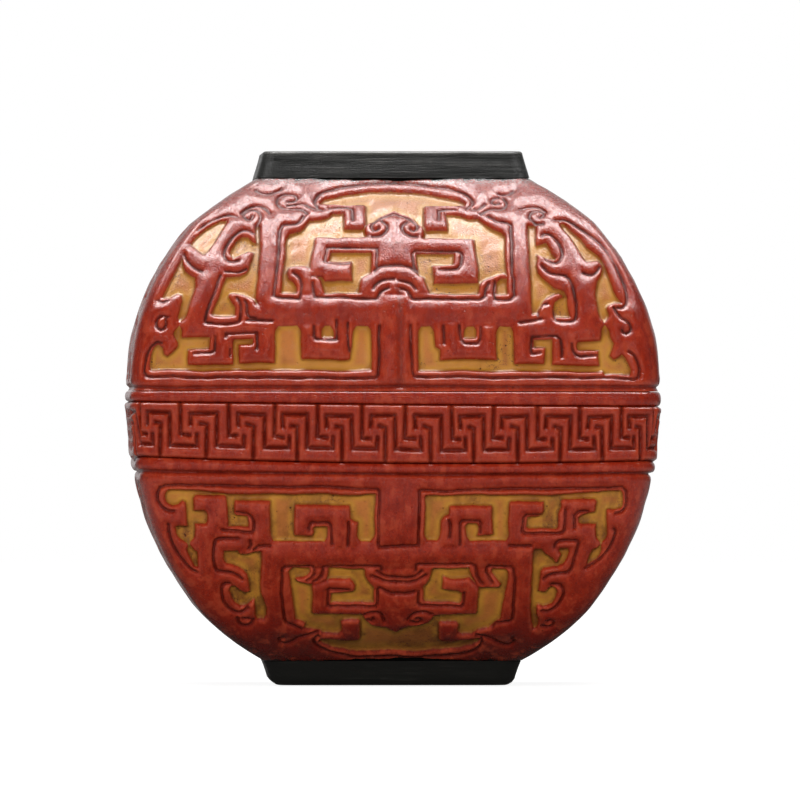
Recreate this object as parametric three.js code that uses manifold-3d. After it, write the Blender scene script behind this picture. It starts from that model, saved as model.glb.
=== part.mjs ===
// A scholar's water pot: a squared, cushion-shaped vessel with four moulded sides, red relief over an
// ochre ground, a key-fret band between two ribs, and a black neck and foot.
// Millimetres, +Z up, the front towards -Y, the origin at the middle of the foot's underside.

import * as THREE from "three";
import { mergeVertices } from "three/addons/utils/BufferGeometryUtils.js";
import Module from "manifold-3d";

const wasm = await Module();
wasm.setup();

// Driving dimensions
const BODY_WIDTH = 98.4; // across the red skin at the foot of the upper curve
const LOWER_WIDTH_SHARE = 0.978; // width at the top of the lower curve, as a share of that
const FOOT_HEIGHT = 4.9;
const BODY_HEIGHT = 88.5; // from the foot to the neck
const NECK_HEIGHT = 5.6;
const LOWER_CURVE_SHARE = 0.46; // share of the body's height where the lower curve turns upright
const UPPER_CURVE_SHARE = 0.573; // share where the upper curve leaves the upright
const BAND_SHARE = 0.481; // share where the middle of the band lies
const SHOULDER_DROP = 5.0; // how far under the neck the shoulder starts to turn up
const SHOULDER_SHARE = 0.709; // half-width there, as a share of the body's
const CORNER_SHARE = 0.125; // corner radius as a share of the half-width
const LEAST_CORNER = 1.2; // corner radius that is left deep inside the wall
const WALL = 4.0; // clay wall under the relief
const RELIEF = 1.3; // from the ochre ground to the top of the relief
const LUTE = 0.3; // slip joint between two pieces
const MITRE = 0.15; // half of the slip joint at a corner

// The outlines of the relief are drawn for a slightly smaller pot and are stretched to this one
const DRAWN_WIDTH = 94.6;
const DRAWN_HEIGHT = 85.1;
const DRAWN_MIDDLE = 52.9; // drawn height that lies on the middle of the stretch
const MIDDLE_SHARE = 0.5424; // share of the body's height where that middle is
const END_EASE = 0.014; // how much less the ends of the pot are stretched

// Neck, foot and floor
const NECK_FOOT_HALF = 26.1;
const NECK_LIP_HALF = 24.4;
const NECK_BORE_HALF = 20.8;
const NECK_CORNER = 4.0;
const NECK_FOOT_CORNER = 4.6;
const BORE_CORNER = 3.0;
const SPIGOT_WALL = 1.7;
const SPIGOT_DEPTH = 2.6;
const LIP_ROUND = 1.0;
const FOOT_TOP_HALF = 23.9;
const FOOT_BASE_HALF = 22.9;
const FOOT_CORNER = 4.2;
const FOOT_ROUND = 1.8;
const FOOT_BORE_HALF = 18.6;
const FOOT_LEDGE = 2.0; // height of the ledge that carries the floor
const FLOOR_HALF = 17.4;
const FLOOR_BEARING = 2.0; // how far the floor lies on the ledge
const FLOOR_THICKNESS = 4.0;

// Band and ribs
const BAND_TALL = 10.3;
const BAND_PROUD = 0.35;
const RIB_HEIGHT = 1.7;
const RIB_PROUD = 0.15;
const RIB_JOINT = 0.15;
const KEYS_PER_SIDE = 12;
const KEY_GROOVE = 0.8;
const KEY_DEPTH = 0.7;

// Smoothness
const CORNER_STEPS = 3;
const CURVE_STEPS = 6;
const OUTLINE_STEPS = 2;

const RED = { color: 0x9c2f20, roughness: 0.38, metalness: 0 };
const OCHRE = { color: 0xb07a34, roughness: 0.5, metalness: 0 };
const BLACK = { color: 0x1d1b19, roughness: 0.5, metalness: 0 };

const NECK_SEAT = FOOT_HEIGHT + BODY_HEIGHT;
const HALF = BODY_WIDTH / 2;
const LOWER_HALF = HALF * LOWER_WIDTH_SHARE;
const LOWER_CURVE_TOP = FOOT_HEIGHT + LOWER_CURVE_SHARE * BODY_HEIGHT;
const UPPER_CURVE_FOOT = FOOT_HEIGHT + UPPER_CURVE_SHARE * BODY_HEIGHT;
const MIDDLE = FOOT_HEIGHT + MIDDLE_SHARE * BODY_HEIGHT;
const BAND_LOW = FOOT_HEIGHT + BAND_SHARE * BODY_HEIGHT - BAND_TALL / 2;
const BAND_HIGH = BAND_LOW + BAND_TALL;

// Profile of the red skin: half-width against height, from the foot to the neck.
// The lower curve ends at the top of the foot, and the upper one at the shoulder.
function skinProfile() {
  const lowAngle = Math.acos(FOOT_TOP_HALF / LOWER_HALF);
  const highAngle = Math.acos(SHOULDER_SHARE);
  const lowReach = (LOWER_CURVE_TOP - FOOT_HEIGHT) / Math.sin(lowAngle);
  const highReach = (NECK_SEAT - SHOULDER_DROP - UPPER_CURVE_FOOT) / Math.sin(highAngle);
  const lowerCurve = new THREE.EllipseCurve(0, LOWER_CURVE_TOP, LOWER_HALF, lowReach, -lowAngle, 0);
  const upperCurve = new THREE.EllipseCurve(0, UPPER_CURVE_FOOT, HALF, highReach, 0, highAngle);
  const end = upperCurve.getPoint(1);
  const turn = new THREE.Vector2(NECK_FOOT_HALF, NECK_SEAT - SHOULDER_DROP / 5);
  const neckward = new THREE.QuadraticBezierCurve(end, turn, new THREE.Vector2(NECK_FOOT_HALF, NECK_SEAT));
  const lower = lowerCurve.getPoints(CURVE_STEPS);
  return [...lower, ...upperCurve.getPoints(CURVE_STEPS), ...neckward.getPoints(3).slice(1)];
}

// The profile moved along its own normal, inwards where the distance is negative
function offsetProfile(profile, distance) {
  return profile.map((p, i) => {
    const before = profile[Math.max(i - 1, 0)];
    const after = profile[Math.min(i + 1, profile.length - 1)];
    const along = new THREE.Vector2().subVectors(after, before).normalize();
    return new THREE.Vector2(p.x + along.y * distance, p.y - along.x * distance);
  });
}

// One level ring of a rounded square, anticlockwise from the right-hand side.
function squareRing(half, round, steps = CORNER_STEPS) {
  const points = [];
  const centre = half - round;
  for (let corner = 0; corner < 4; corner++) {
    const start = (corner * Math.PI) / 2;
    const cx = centre * Math.SQRT2 * Math.cos(start + Math.PI / 4);
    const cy = centre * Math.SQRT2 * Math.sin(start + Math.PI / 4);
    for (let i = 0; i <= steps; i++) {
      const angle = start + (i / steps) * (Math.PI / 2);
      points.push(new THREE.Vector2(cx + round * Math.cos(angle), cy + round * Math.sin(angle)));
    }
  }
  return points;
}

// A closed solid through level rounded squares, each given as { z, half, round }.
function loft(levels, steps = CORNER_STEPS) {
  const count = 4 * (steps + 1);
  const positions = [];
  const faces = [];
  for (const level of levels) {
    for (const p of squareRing(level.half, level.round, steps)) positions.push(p.x, p.y, level.z);
  }
  for (let k = 0; k < levels.length - 1; k++) {
    for (let i = 0; i < count; i++) {
      const a = k * count + i;
      const b = k * count + ((i + 1) % count);
      faces.push(a, b, b + count, a, b + count, a + count);
    }
  }
  const top = (levels.length - 1) * count;
  for (let i = 1; i < count - 1; i++) {
    faces.push(0, i + 1, i);
    faces.push(top, top + i, top + i + 1);
  }
  const geometry = new THREE.BufferGeometry();
  geometry.setAttribute("position", new THREE.Float32BufferAttribute(positions, 3));
  geometry.setIndex(faces);
  return solidOf(geometry);
}

function solidOf(geometry) {
  const bare = geometry.clone();
  bare.deleteAttribute("normal");
  bare.deleteAttribute("uv");
  const merged = mergeVertices(bare, 1e-4);
  return new wasm.Manifold(
    new wasm.Mesh({
      numProp: 3,
      vertProperties: new Float32Array(merged.attributes.position.array),
      triVerts: new Uint32Array(merged.index.array),
    }),
  );
}

function geometryOf(solid) {
  const mesh = solid.getMesh();
  const geometry = new THREE.BufferGeometry();
  const positions = new Float32Array(mesh.numVert * 3);
  for (let i = 0; i < mesh.numVert; i++) {
    positions.set(mesh.vertProperties.subarray(i * mesh.numProp, i * mesh.numProp + 3), i * 3);
  }
  geometry.setAttribute("position", new THREE.BufferAttribute(positions, 3));
  geometry.setIndex(new THREE.BufferAttribute(new Uint32Array(mesh.triVerts), 1));
  geometry.computeVertexNormals();
  return geometry;
}

// Levels of the body at a distance from the red skin, carried on upright past its foot and its neck
function skinLevels(distance, below = 3, above = 3) {
  const levels = offsetProfile(skinProfile(), distance).map((p) => ({
    z: p.y,
    half: p.x,
    round: Math.max(p.x * CORNER_SHARE + distance, LEAST_CORNER),
  }));
  const first = levels[0];
  const last = levels[levels.length - 1];
  if (below > 0) levels.unshift({ ...first, z: first.z - below });
  return [...levels, { ...last, z: last.z + above }];
}

function box(x, y, z, cx, cy, cz) {
  return solidOf(new THREE.BoxGeometry(x, y, z).translate(cx, cy, cz));
}

// All of a level slice between two heights
function slab(low, high) {
  const wide = BODY_WIDTH * 2;
  return box(wide, wide, high - low, 0, 0, (low + high) / 2);
}

// The quarter of the pot that faces -Y, up to the mitre planes at its two corners
function frontQuarter() {
  const reach = BODY_WIDTH;
  const nose = MITRE * Math.SQRT2;
  const shape = new THREE.Shape([
    new THREE.Vector2(0, -nose),
    new THREE.Vector2(-reach, -nose - reach),
    new THREE.Vector2(reach, -nose - reach),
  ]);
  return solidOf(new THREE.ExtrudeGeometry(shape, { depth: BODY_WIDTH * 1.5, bevelEnabled: false }));
}

// A closed outline from corner points. A point with a third entry is the control point of a curve
// that runs between the middles of its two edges.
function outlineShape(points) {
  const shape = new THREE.Shape();
  const count = points.length;
  const middle = (a, b) => [(a[0] + b[0]) / 2, (a[1] + b[1]) / 2];
  points.forEach((p, i) => {
    const before = points[(i + count - 1) % count];
    const after = points[(i + 1) % count];
    if (p[2]) {
      const from = middle(before, p);
      const to = middle(p, after);
      if (i === 0) shape.moveTo(from[0], from[1]);
      else shape.lineTo(from[0], from[1]);
      shape.quadraticCurveTo(p[0], p[1], to[0], to[1]);
    } else if (i === 0) shape.moveTo(p[0], p[1]);
    else shape.lineTo(p[0], p[1]);
  });
  return shape;
}

const mirrored = (points) => points.map(([x, z, soft]) => (soft ? [-x, z, soft] : [-x, z])).reverse();

// Both halves of an outline that starts and ends on the centre line
function wholeOutline(half) {
  return [...half, ...mirrored(half).slice(1, -1)];
}

// A drawn outline point, stretched to this pot
function fitted([x, z, soft]) {
  const away = z - DRAWN_MIDDLE;
  const ease = END_EASE * ((2 * away) / DRAWN_HEIGHT) ** 2;
  const across = BODY_WIDTH / DRAWN_WIDTH - ease;
  return [x * across, MIDDLE + away * (BODY_HEIGHT / DRAWN_HEIGHT - ease), soft];
}

// A front-view outline, extruded through the front side of the pot
function frontCutter(points) {
  const contour = outlineShape(points.map(fitted)).extractPoints(OUTLINE_STEPS).shape;
  const flat = new THREE.Shape(contour);
  const geometry = new THREE.ExtrudeGeometry(flat, { depth: BODY_WIDTH, bevelEnabled: false });
  geometry.rotateX(Math.PI / 2);
  return solidOf(geometry);
}

function joined(solids) {
  return solids.reduce((all, solid) => all.add(solid));
}

// Front-view outlines of the relief, in millimetres: x to the right of the centre line, and the height.
// A window shows the ochre ground; a motif is the red left standing in it.
const UPPER_PANEL = {
  middleWindow: [
    [0, 90.7], [12.9, 90.0, 1], [13.6, 88.0, 1], [5.2, 88.0], [5.3, 84.0], [9.2, 84.0], [9.2, 86.3],
    [13.2, 85.4], [15.4, 85.6], [17.4, 84.0], [19.8, 83.2], [20.1, 72.3], [0, 72.3],
  ],
  sideWindow: [
    [3.9, 58.2], [43.4, 58.2], [44.4, 61.2, 1], [42.4, 63.8, 1], [40.6, 60.6], [39.4, 62.6],
    [38.2, 69.8], [38.7, 71.6], [41.0, 70.4], [42.2, 71.2], [40.2, 76.4], [36.2, 81.6], [31.8, 84.6],
    [28.8, 85.4], [24.5, 84.0], [24.6, 66.8], [3.9, 66.8],
  ],
  middleMotifs: [
    [[0, 86.7], [2.4, 85.9], [5.6, 84.6, 1], [5.0, 81.8], [14.4, 81.8], [15.0, 74.2], [7.4, 74.2],
      [7.5, 77.0], [11.4, 77.2], [11.4, 79.0], [3.6, 79.0], [3.5, 76.0], [6.8, 74.4, 1], [6.6, 71.6],
      [0, 71.6]],
  ],
  sideMotifs: [
    [[14.6, 71.6], [15.0, 74.6], [17.0, 76.9, 1], [19.4, 76.2], [17.9, 74.4], [18.0, 71.6]],
    [[7.8, 67.4], [8.2, 60.1], [17.3, 60.1], [17.3, 66.3], [14.4, 66.3], [14.4, 63.6], [11.2, 63.6],
      [11.2, 67.4]],
    [[21.6, 67.4], [21.6, 59.4], [27.4, 59.4], [27.4, 61.7], [25.3, 61.7], [25.3, 63.8], [29.4, 63.8],
      [29.4, 59.3], [36.8, 59.3], [36.8, 61.7], [32.8, 61.7], [32.8, 63.7], [37.6, 63.7], [36.8, 69.0],
      [35.6, 74.2], [37.6, 75.4], [37.8, 79.4, 1], [35.4, 79.6], [34.2, 77.8], [30.8, 84.2],
      [29.4, 86.4], [26.2, 86.4], [24.9, 82.6, 1], [25.8, 80.8], [28.6, 82.4, 1], [30.6, 78.6, 1],
      [27.6, 77.6], [25.7, 79.6], [25.2, 77.2, 1], [29.0, 75.2], [31.4, 73.0], [32.6, 67.0],
      [28.4, 67.0], [28.8, 69.4], [30.2, 71.6, 1], [27.0, 71.6], [25.4, 69.6], [25.2, 66.4]],
  ],
};
const LOWER_PANEL = {
  middleWindow: [
    [0, 7.6], [12.6, 8.4, 1], [13.8, 9.9, 1], [6.9, 9.9], [6.9, 13.8], [10.2, 13.8], [10.2, 11.0],
    [14.4, 11.2], [16.8, 12.4], [19.2, 13.2], [19.3, 22.5], [0, 22.5],
  ],
  sideWindow: [
    [4.3, 36.2], [40.6, 36.6], [42.2, 35.6, 1], [39.8, 33.3], [38.3, 34.2], [37.9, 31.6],
    [40.6, 31.4, 1], [38.9, 27.0], [35.5, 23.6], [31.4, 23.0], [31.2, 16.0, 1], [26.8, 15.0],
    [25.7, 12.2], [24.1, 12.4], [24.2, 26.8], [4.3, 26.8],
  ],
  middleMotifs: [
    [[0, 12.2], [3.2, 12.6], [6.2, 13.2, 1], [6.2, 14.4], [14.6, 14.3], [15.0, 20.9], [7.6, 21.0],
      [8.0, 18.7], [11.6, 18.6], [11.6, 16.8], [4.2, 16.8], [4.1, 19.4], [7.0, 21.2, 1], [6.4, 23.0],
      [0, 23.0]],
  ],
  sideMotifs: [
    [[13.9, 23.2], [15.2, 20.9], [17.8, 19.8, 1], [19.4, 20.4], [17.2, 21.4], [16.6, 23.2]],
    [[7.5, 26.2], [8.4, 34.0], [17.7, 34.0], [17.7, 28.7], [14.6, 28.7], [14.6, 30.9], [11.9, 30.9],
      [11.7, 26.2]],
    [[21.6, 26.2], [21.7, 34.7], [27.7, 34.8], [27.7, 32.4], [25.3, 32.4], [25.3, 30.1], [29.8, 30.1],
      [29.8, 35.3], [36.3, 35.4], [36.3, 32.7], [32.8, 32.6], [32.8, 31.1], [36.4, 31.1], [36.2, 27.5],
      [35.3, 22.8], [31.2, 20.0], [31.8, 22.0], [31.2, 28.2], [28.3, 28.2], [28.2, 25.8, 1],
      [25.4, 26.2]],
    [[33.0, 24.6], [31.0, 23.9], [26.2, 22.2, 1], [26.2, 19.6], [29.8, 20.4, 1], [30.6, 18.6],
      [33.6, 18.0]],
    [[29.6, 14.0], [28.6, 15.7], [26.2, 16.4, 1], [25.1, 14.8], [25.4, 13.2]],
  ],
};

function reliefCutter(panel) {
  const windows = [frontCutter(wholeOutline(panel.middleWindow))];
  windows.push(frontCutter(panel.sideWindow), frontCutter(mirrored(panel.sideWindow)));
  const motifs = panel.middleMotifs.map((half) => frontCutter(wholeOutline(half)));
  for (const half of panel.sideMotifs) motifs.push(frontCutter(half), frontCutter(mirrored(half)));
  return joined(windows).subtract(joined(motifs));
}

// Body
const skin = loft(skinLevels(0));
const ground = loft(skinLevels(-RELIEF));
const hollow = loft(skinLevels(-RELIEF - WALL, 0, 3 * WALL));
const underRelief = loft(skinLevels(-RELIEF + LUTE));
const quarter = frontQuarter();
const spigotHalf = NECK_BORE_HALF + SPIGOT_WALL;

// A plain upright block with rounded corners
function post(half, round, low, high) {
  return loft([{ z: low, half, round }, { z: high, half, round }]);
}

function wallSolid() {
  const rebateFoot = NECK_SEAT - SPIGOT_DEPTH - LUTE;
  const rebate = post(spigotHalf + LUTE, NECK_CORNER, rebateFoot, NECK_SEAT + NECK_HEIGHT);
  const floorHole = post(FLOOR_HALF + LUTE, NECK_CORNER, 0, LOWER_CURVE_TOP);
  const trimmed = ground.intersect(slab(FOOT_HEIGHT, NECK_SEAT));
  return trimmed.subtract(hollow).subtract(rebate).subtract(floorHole).intersect(quarter);
}

function reliefSolid(low, high, panel) {
  const sheet = skin.subtract(underRelief).intersect(slab(low, high)).intersect(quarter);
  return sheet.subtract(reliefCutter(panel));
}

// Half-width of the body behind the band, which narrows downwards
function bandCore(z) {
  const share = (z - BAND_LOW) / (BAND_HIGH - BAND_LOW);
  return THREE.MathUtils.lerp(LOWER_HALF, HALF, share);
}

// Plan position of a point on the band, from its distance along the side, its depth and its height
function bandPoint(middleAlong, depth, z) {
  const core = bandCore(z);
  const along = middleAlong * (core / HALF);
  const round = core * CORNER_SHARE + BAND_PROUD;
  const straight = core + BAND_PROUD - round;
  const over = Math.abs(along) - straight;
  if (over <= 0) return [along, depth - straight - round];
  const angle = over / round;
  const reach = round - depth;
  const x = straight + reach * Math.sin(angle);
  return [Math.sign(along) * x, -straight - reach * Math.cos(angle)];
}

// The outline of a groove that follows a path of level and upright runs
function grooveOutline(path, width) {
  const count = path.length;
  const sides = [[], []];
  path.forEach(([x, z], i) => {
    const into = i > 0 ? [x - path[i - 1][0], z - path[i - 1][1]] : null;
    const away = i < count - 1 ? [path[i + 1][0] - x, path[i + 1][1] - z] : null;
    const first = (into || away).map(Math.sign);
    const second = (away || into).map(Math.sign);
    const straight = first[0] === second[0] && first[1] === second[1];
    const share = straight ? 1 : 2;
    const across = [-(first[1] + second[1]) / (2 / share), (first[0] + second[0]) / (2 / share)];
    const past = into ? (away ? 0 : 1) : -1;
    const ex = x + (past * first[0] * width) / 2;
    const ez = z + (past * first[1] * width) / 2;
    sides[0].push(new THREE.Vector2(ex + (across[0] * width) / 2, ez + (across[1] * width) / 2));
    sides[1].unshift(new THREE.Vector2(ex - (across[0] * width) / 2, ez - (across[1] * width) / 2));
  });
  return new THREE.Shape([...sides[0], ...sides[1]]);
}

// A key groove, bent round the corner of the pot where it runs there
function grooveSolid(path) {
  const depth = KEY_DEPTH + BAND_PROUD + LUTE;
  const geometry = new THREE.ExtrudeGeometry(grooveOutline(path, KEY_GROOVE), { depth, bevelEnabled: false });
  const place = geometry.attributes.position;
  for (let i = 0; i < place.count; i++) {
    const [x, y] = bandPoint(place.getX(i), KEY_DEPTH - place.getZ(i), place.getY(i));
    place.setXYZ(i, x, y, place.getY(i));
  }
  return solidOf(geometry);
}

// One key: three grooves, each a path of level and upright runs, as shares of the pitch and of the height
const KEY_PATHS = [
  [[0, 1.1], [0, 0.4], [0.17, 0.4]],
  [[0.2, 0.58], [0.2, 0.78], [0.72, 0.78], [0.72, 0.22], [0.98, 0.22], [1.28, 0.22]],
  [[0.5, -0.1], [0.5, 0.52], [0.38, 0.52]],
];

function bandSolid() {
  const outer = loft([BAND_LOW, BAND_HIGH].map((z) => ({
    z,
    half: bandCore(z) + BAND_PROUD,
    round: bandCore(z) * CORNER_SHARE + BAND_PROUD,
  })));
  const sheet = outer.subtract(underRelief).intersect(quarter);
  const straight = HALF * (1 - CORNER_SHARE);
  const corner = (HALF * CORNER_SHARE + BAND_PROUD) * (Math.PI / 4);
  const length = 2 * (straight + corner - 1.5 * KEY_GROOVE);
  const pitch = length / KEYS_PER_SIDE;
  const height = BAND_HIGH - BAND_LOW;
  const grooves = [];
  for (let key = 0; key < KEYS_PER_SIDE; key++) {
    for (const shares of KEY_PATHS) {
      const path = shares.map(([u, v]) => [
        Math.min(-length / 2 + (key + u) * pitch, length / 2),
        BAND_LOW + v * height,
      ]);
      if (path.every(([x]) => x < length / 2)) grooves.push(grooveSolid(path));
    }
  }
  return sheet.subtract(joined(grooves));
}

function ribSolid(low, core) {
  const high = low + RIB_HEIGHT;
  const half = core + RIB_PROUD;
  const round = core * CORNER_SHARE + RIB_PROUD;
  const soft = RIB_HEIGHT / 4;
  const levels = [
    { z: low, half: half - soft, round: round - soft },
    { z: low + soft, half, round },
    { z: high - soft, half, round },
    { z: high, half: half - soft, round: round - soft },
  ];
  return loft(levels).subtract(underRelief);
}

function neckSolid() {
  const top = NECK_SEAT + NECK_HEIGHT;
  const outer = loft([
    { z: NECK_SEAT, half: NECK_FOOT_HALF, round: NECK_FOOT_CORNER },
    { z: top - LIP_ROUND, half: NECK_LIP_HALF, round: NECK_CORNER },
    { z: top - LIP_ROUND * 0.3, half: NECK_LIP_HALF - LIP_ROUND * 0.3, round: NECK_CORNER },
    { z: top, half: NECK_LIP_HALF - LIP_ROUND, round: NECK_CORNER - LIP_ROUND / 2 },
  ]);
  const spigot = post(spigotHalf, NECK_CORNER - LUTE, NECK_SEAT - SPIGOT_DEPTH, NECK_SEAT + NECK_HEIGHT / 2);
  const bore = loft([
    { z: NECK_SEAT - NECK_HEIGHT, half: NECK_BORE_HALF, round: BORE_CORNER },
    { z: top - LIP_ROUND, half: NECK_BORE_HALF, round: BORE_CORNER },
    { z: top + LIP_ROUND, half: NECK_BORE_HALF + 2 * LIP_ROUND, round: BORE_CORNER + LIP_ROUND },
  ]);
  return outer.add(spigot).subtract(bore);
}

function footSolid() {
  const outer = loft([
    { z: 0, half: FOOT_BASE_HALF - FOOT_ROUND, round: FOOT_CORNER - FOOT_ROUND / 2 },
    { z: FOOT_ROUND * 0.35, half: FOOT_BASE_HALF - FOOT_ROUND * 0.3, round: FOOT_CORNER - FOOT_ROUND / 4 },
    { z: FOOT_ROUND, half: FOOT_BASE_HALF, round: FOOT_CORNER },
    { z: FOOT_HEIGHT, half: FOOT_TOP_HALF, round: FOOT_CORNER },
  ]);
  const bore = post(FOOT_BORE_HALF, BORE_CORNER, -FOOT_HEIGHT, FOOT_HEIGHT - FOOT_LEDGE);
  const eye = post(FLOOR_HALF - FLOOR_BEARING, BORE_CORNER, 0, 2 * FOOT_HEIGHT);
  return outer.subtract(bore).subtract(eye);
}

const floorSolid = post(FLOOR_HALF, NECK_CORNER - LUTE, FOOT_HEIGHT, FOOT_HEIGHT + FLOOR_THICKNESS);

const group = new THREE.Group();
group.name = "scholar_water_pot";
const SIDES = ["front", "right", "back", "left"];

function addPiece(name, solid, look, turns = 0) {
  const geometry = geometryOf(solid);
  geometry.rotateZ((turns * Math.PI) / 2);
  const mesh = new THREE.Mesh(geometry, new THREE.MeshStandardMaterial(look));
  mesh.name = name;
  group.add(mesh);
}

const upperRibLow = BAND_HIGH + RIB_JOINT;
const lowerRibLow = BAND_LOW - RIB_JOINT - RIB_HEIGHT;
const sidePieces = [
  ["wall", wallSolid(), OCHRE],
  ["relief_upper", reliefSolid(upperRibLow + RIB_HEIGHT + RIB_JOINT, NECK_SEAT, UPPER_PANEL), RED],
  ["relief_lower", reliefSolid(FOOT_HEIGHT, lowerRibLow - RIB_JOINT, LOWER_PANEL), RED],
  ["fret_band", bandSolid(), RED],
];
for (const [name, solid, look] of sidePieces) {
  SIDES.forEach((side, i) => addPiece(`${name}_${side}`, solid, look, i));
}
addPiece("upper_rib", ribSolid(upperRibLow, HALF), RED);
addPiece("lower_rib", ribSolid(lowerRibLow, LOWER_HALF), RED);
addPiece("neck_collar", neckSolid(), BLACK);
addPiece("foot_ring", footSolid(), BLACK);
addPiece("floor_plate", floorSolid, BLACK);

export default group;
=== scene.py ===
"""A scholar's water pot: moulded red relief over an ochre ground, a key-fret band, a black neck and foot."""

import math

import bpy
import numpy as np
from mathutils import Matrix, Vector


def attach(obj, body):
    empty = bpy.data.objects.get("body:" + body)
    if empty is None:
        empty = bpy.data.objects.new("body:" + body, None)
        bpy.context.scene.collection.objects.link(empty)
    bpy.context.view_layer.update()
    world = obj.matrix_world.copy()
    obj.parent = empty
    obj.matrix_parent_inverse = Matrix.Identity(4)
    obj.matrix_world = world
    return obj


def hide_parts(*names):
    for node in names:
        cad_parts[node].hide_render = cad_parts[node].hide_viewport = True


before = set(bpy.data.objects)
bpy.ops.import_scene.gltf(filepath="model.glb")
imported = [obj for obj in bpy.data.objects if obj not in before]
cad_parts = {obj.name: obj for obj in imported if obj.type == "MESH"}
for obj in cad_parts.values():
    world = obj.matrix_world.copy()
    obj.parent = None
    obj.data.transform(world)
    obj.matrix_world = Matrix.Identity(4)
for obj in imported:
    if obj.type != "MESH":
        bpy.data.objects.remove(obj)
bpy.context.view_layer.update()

bl_info = {
    "name": "Scholar water pot",
    "version": (1, 0, 0),
    "blender": (4, 5, 0),
    "location": "View3D > Sidebar > Water Pot",
    "description": "Builds a squared ceramic water pot with moulded relief",
    "category": "Object",
}

MM = 0.001
FAR = 1e9
SIDES = ("front", "right", "back", "left")
CORNER_SHARE = 0.10
SHEET_DEPTH = 2.2
BAND_CELL = 0.20
BAND_LENGTH = 96

# The drawing of the relief: its width and the height of its middle, in millimetres, and how much less
# it is stretched at its upper and lower ends
DRAWN_WIDTH, DRAWN_MIDDLE, DRAWN_HALF, DRAWN_TAPER = 94.76, 52.9, 46, 0.014

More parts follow.
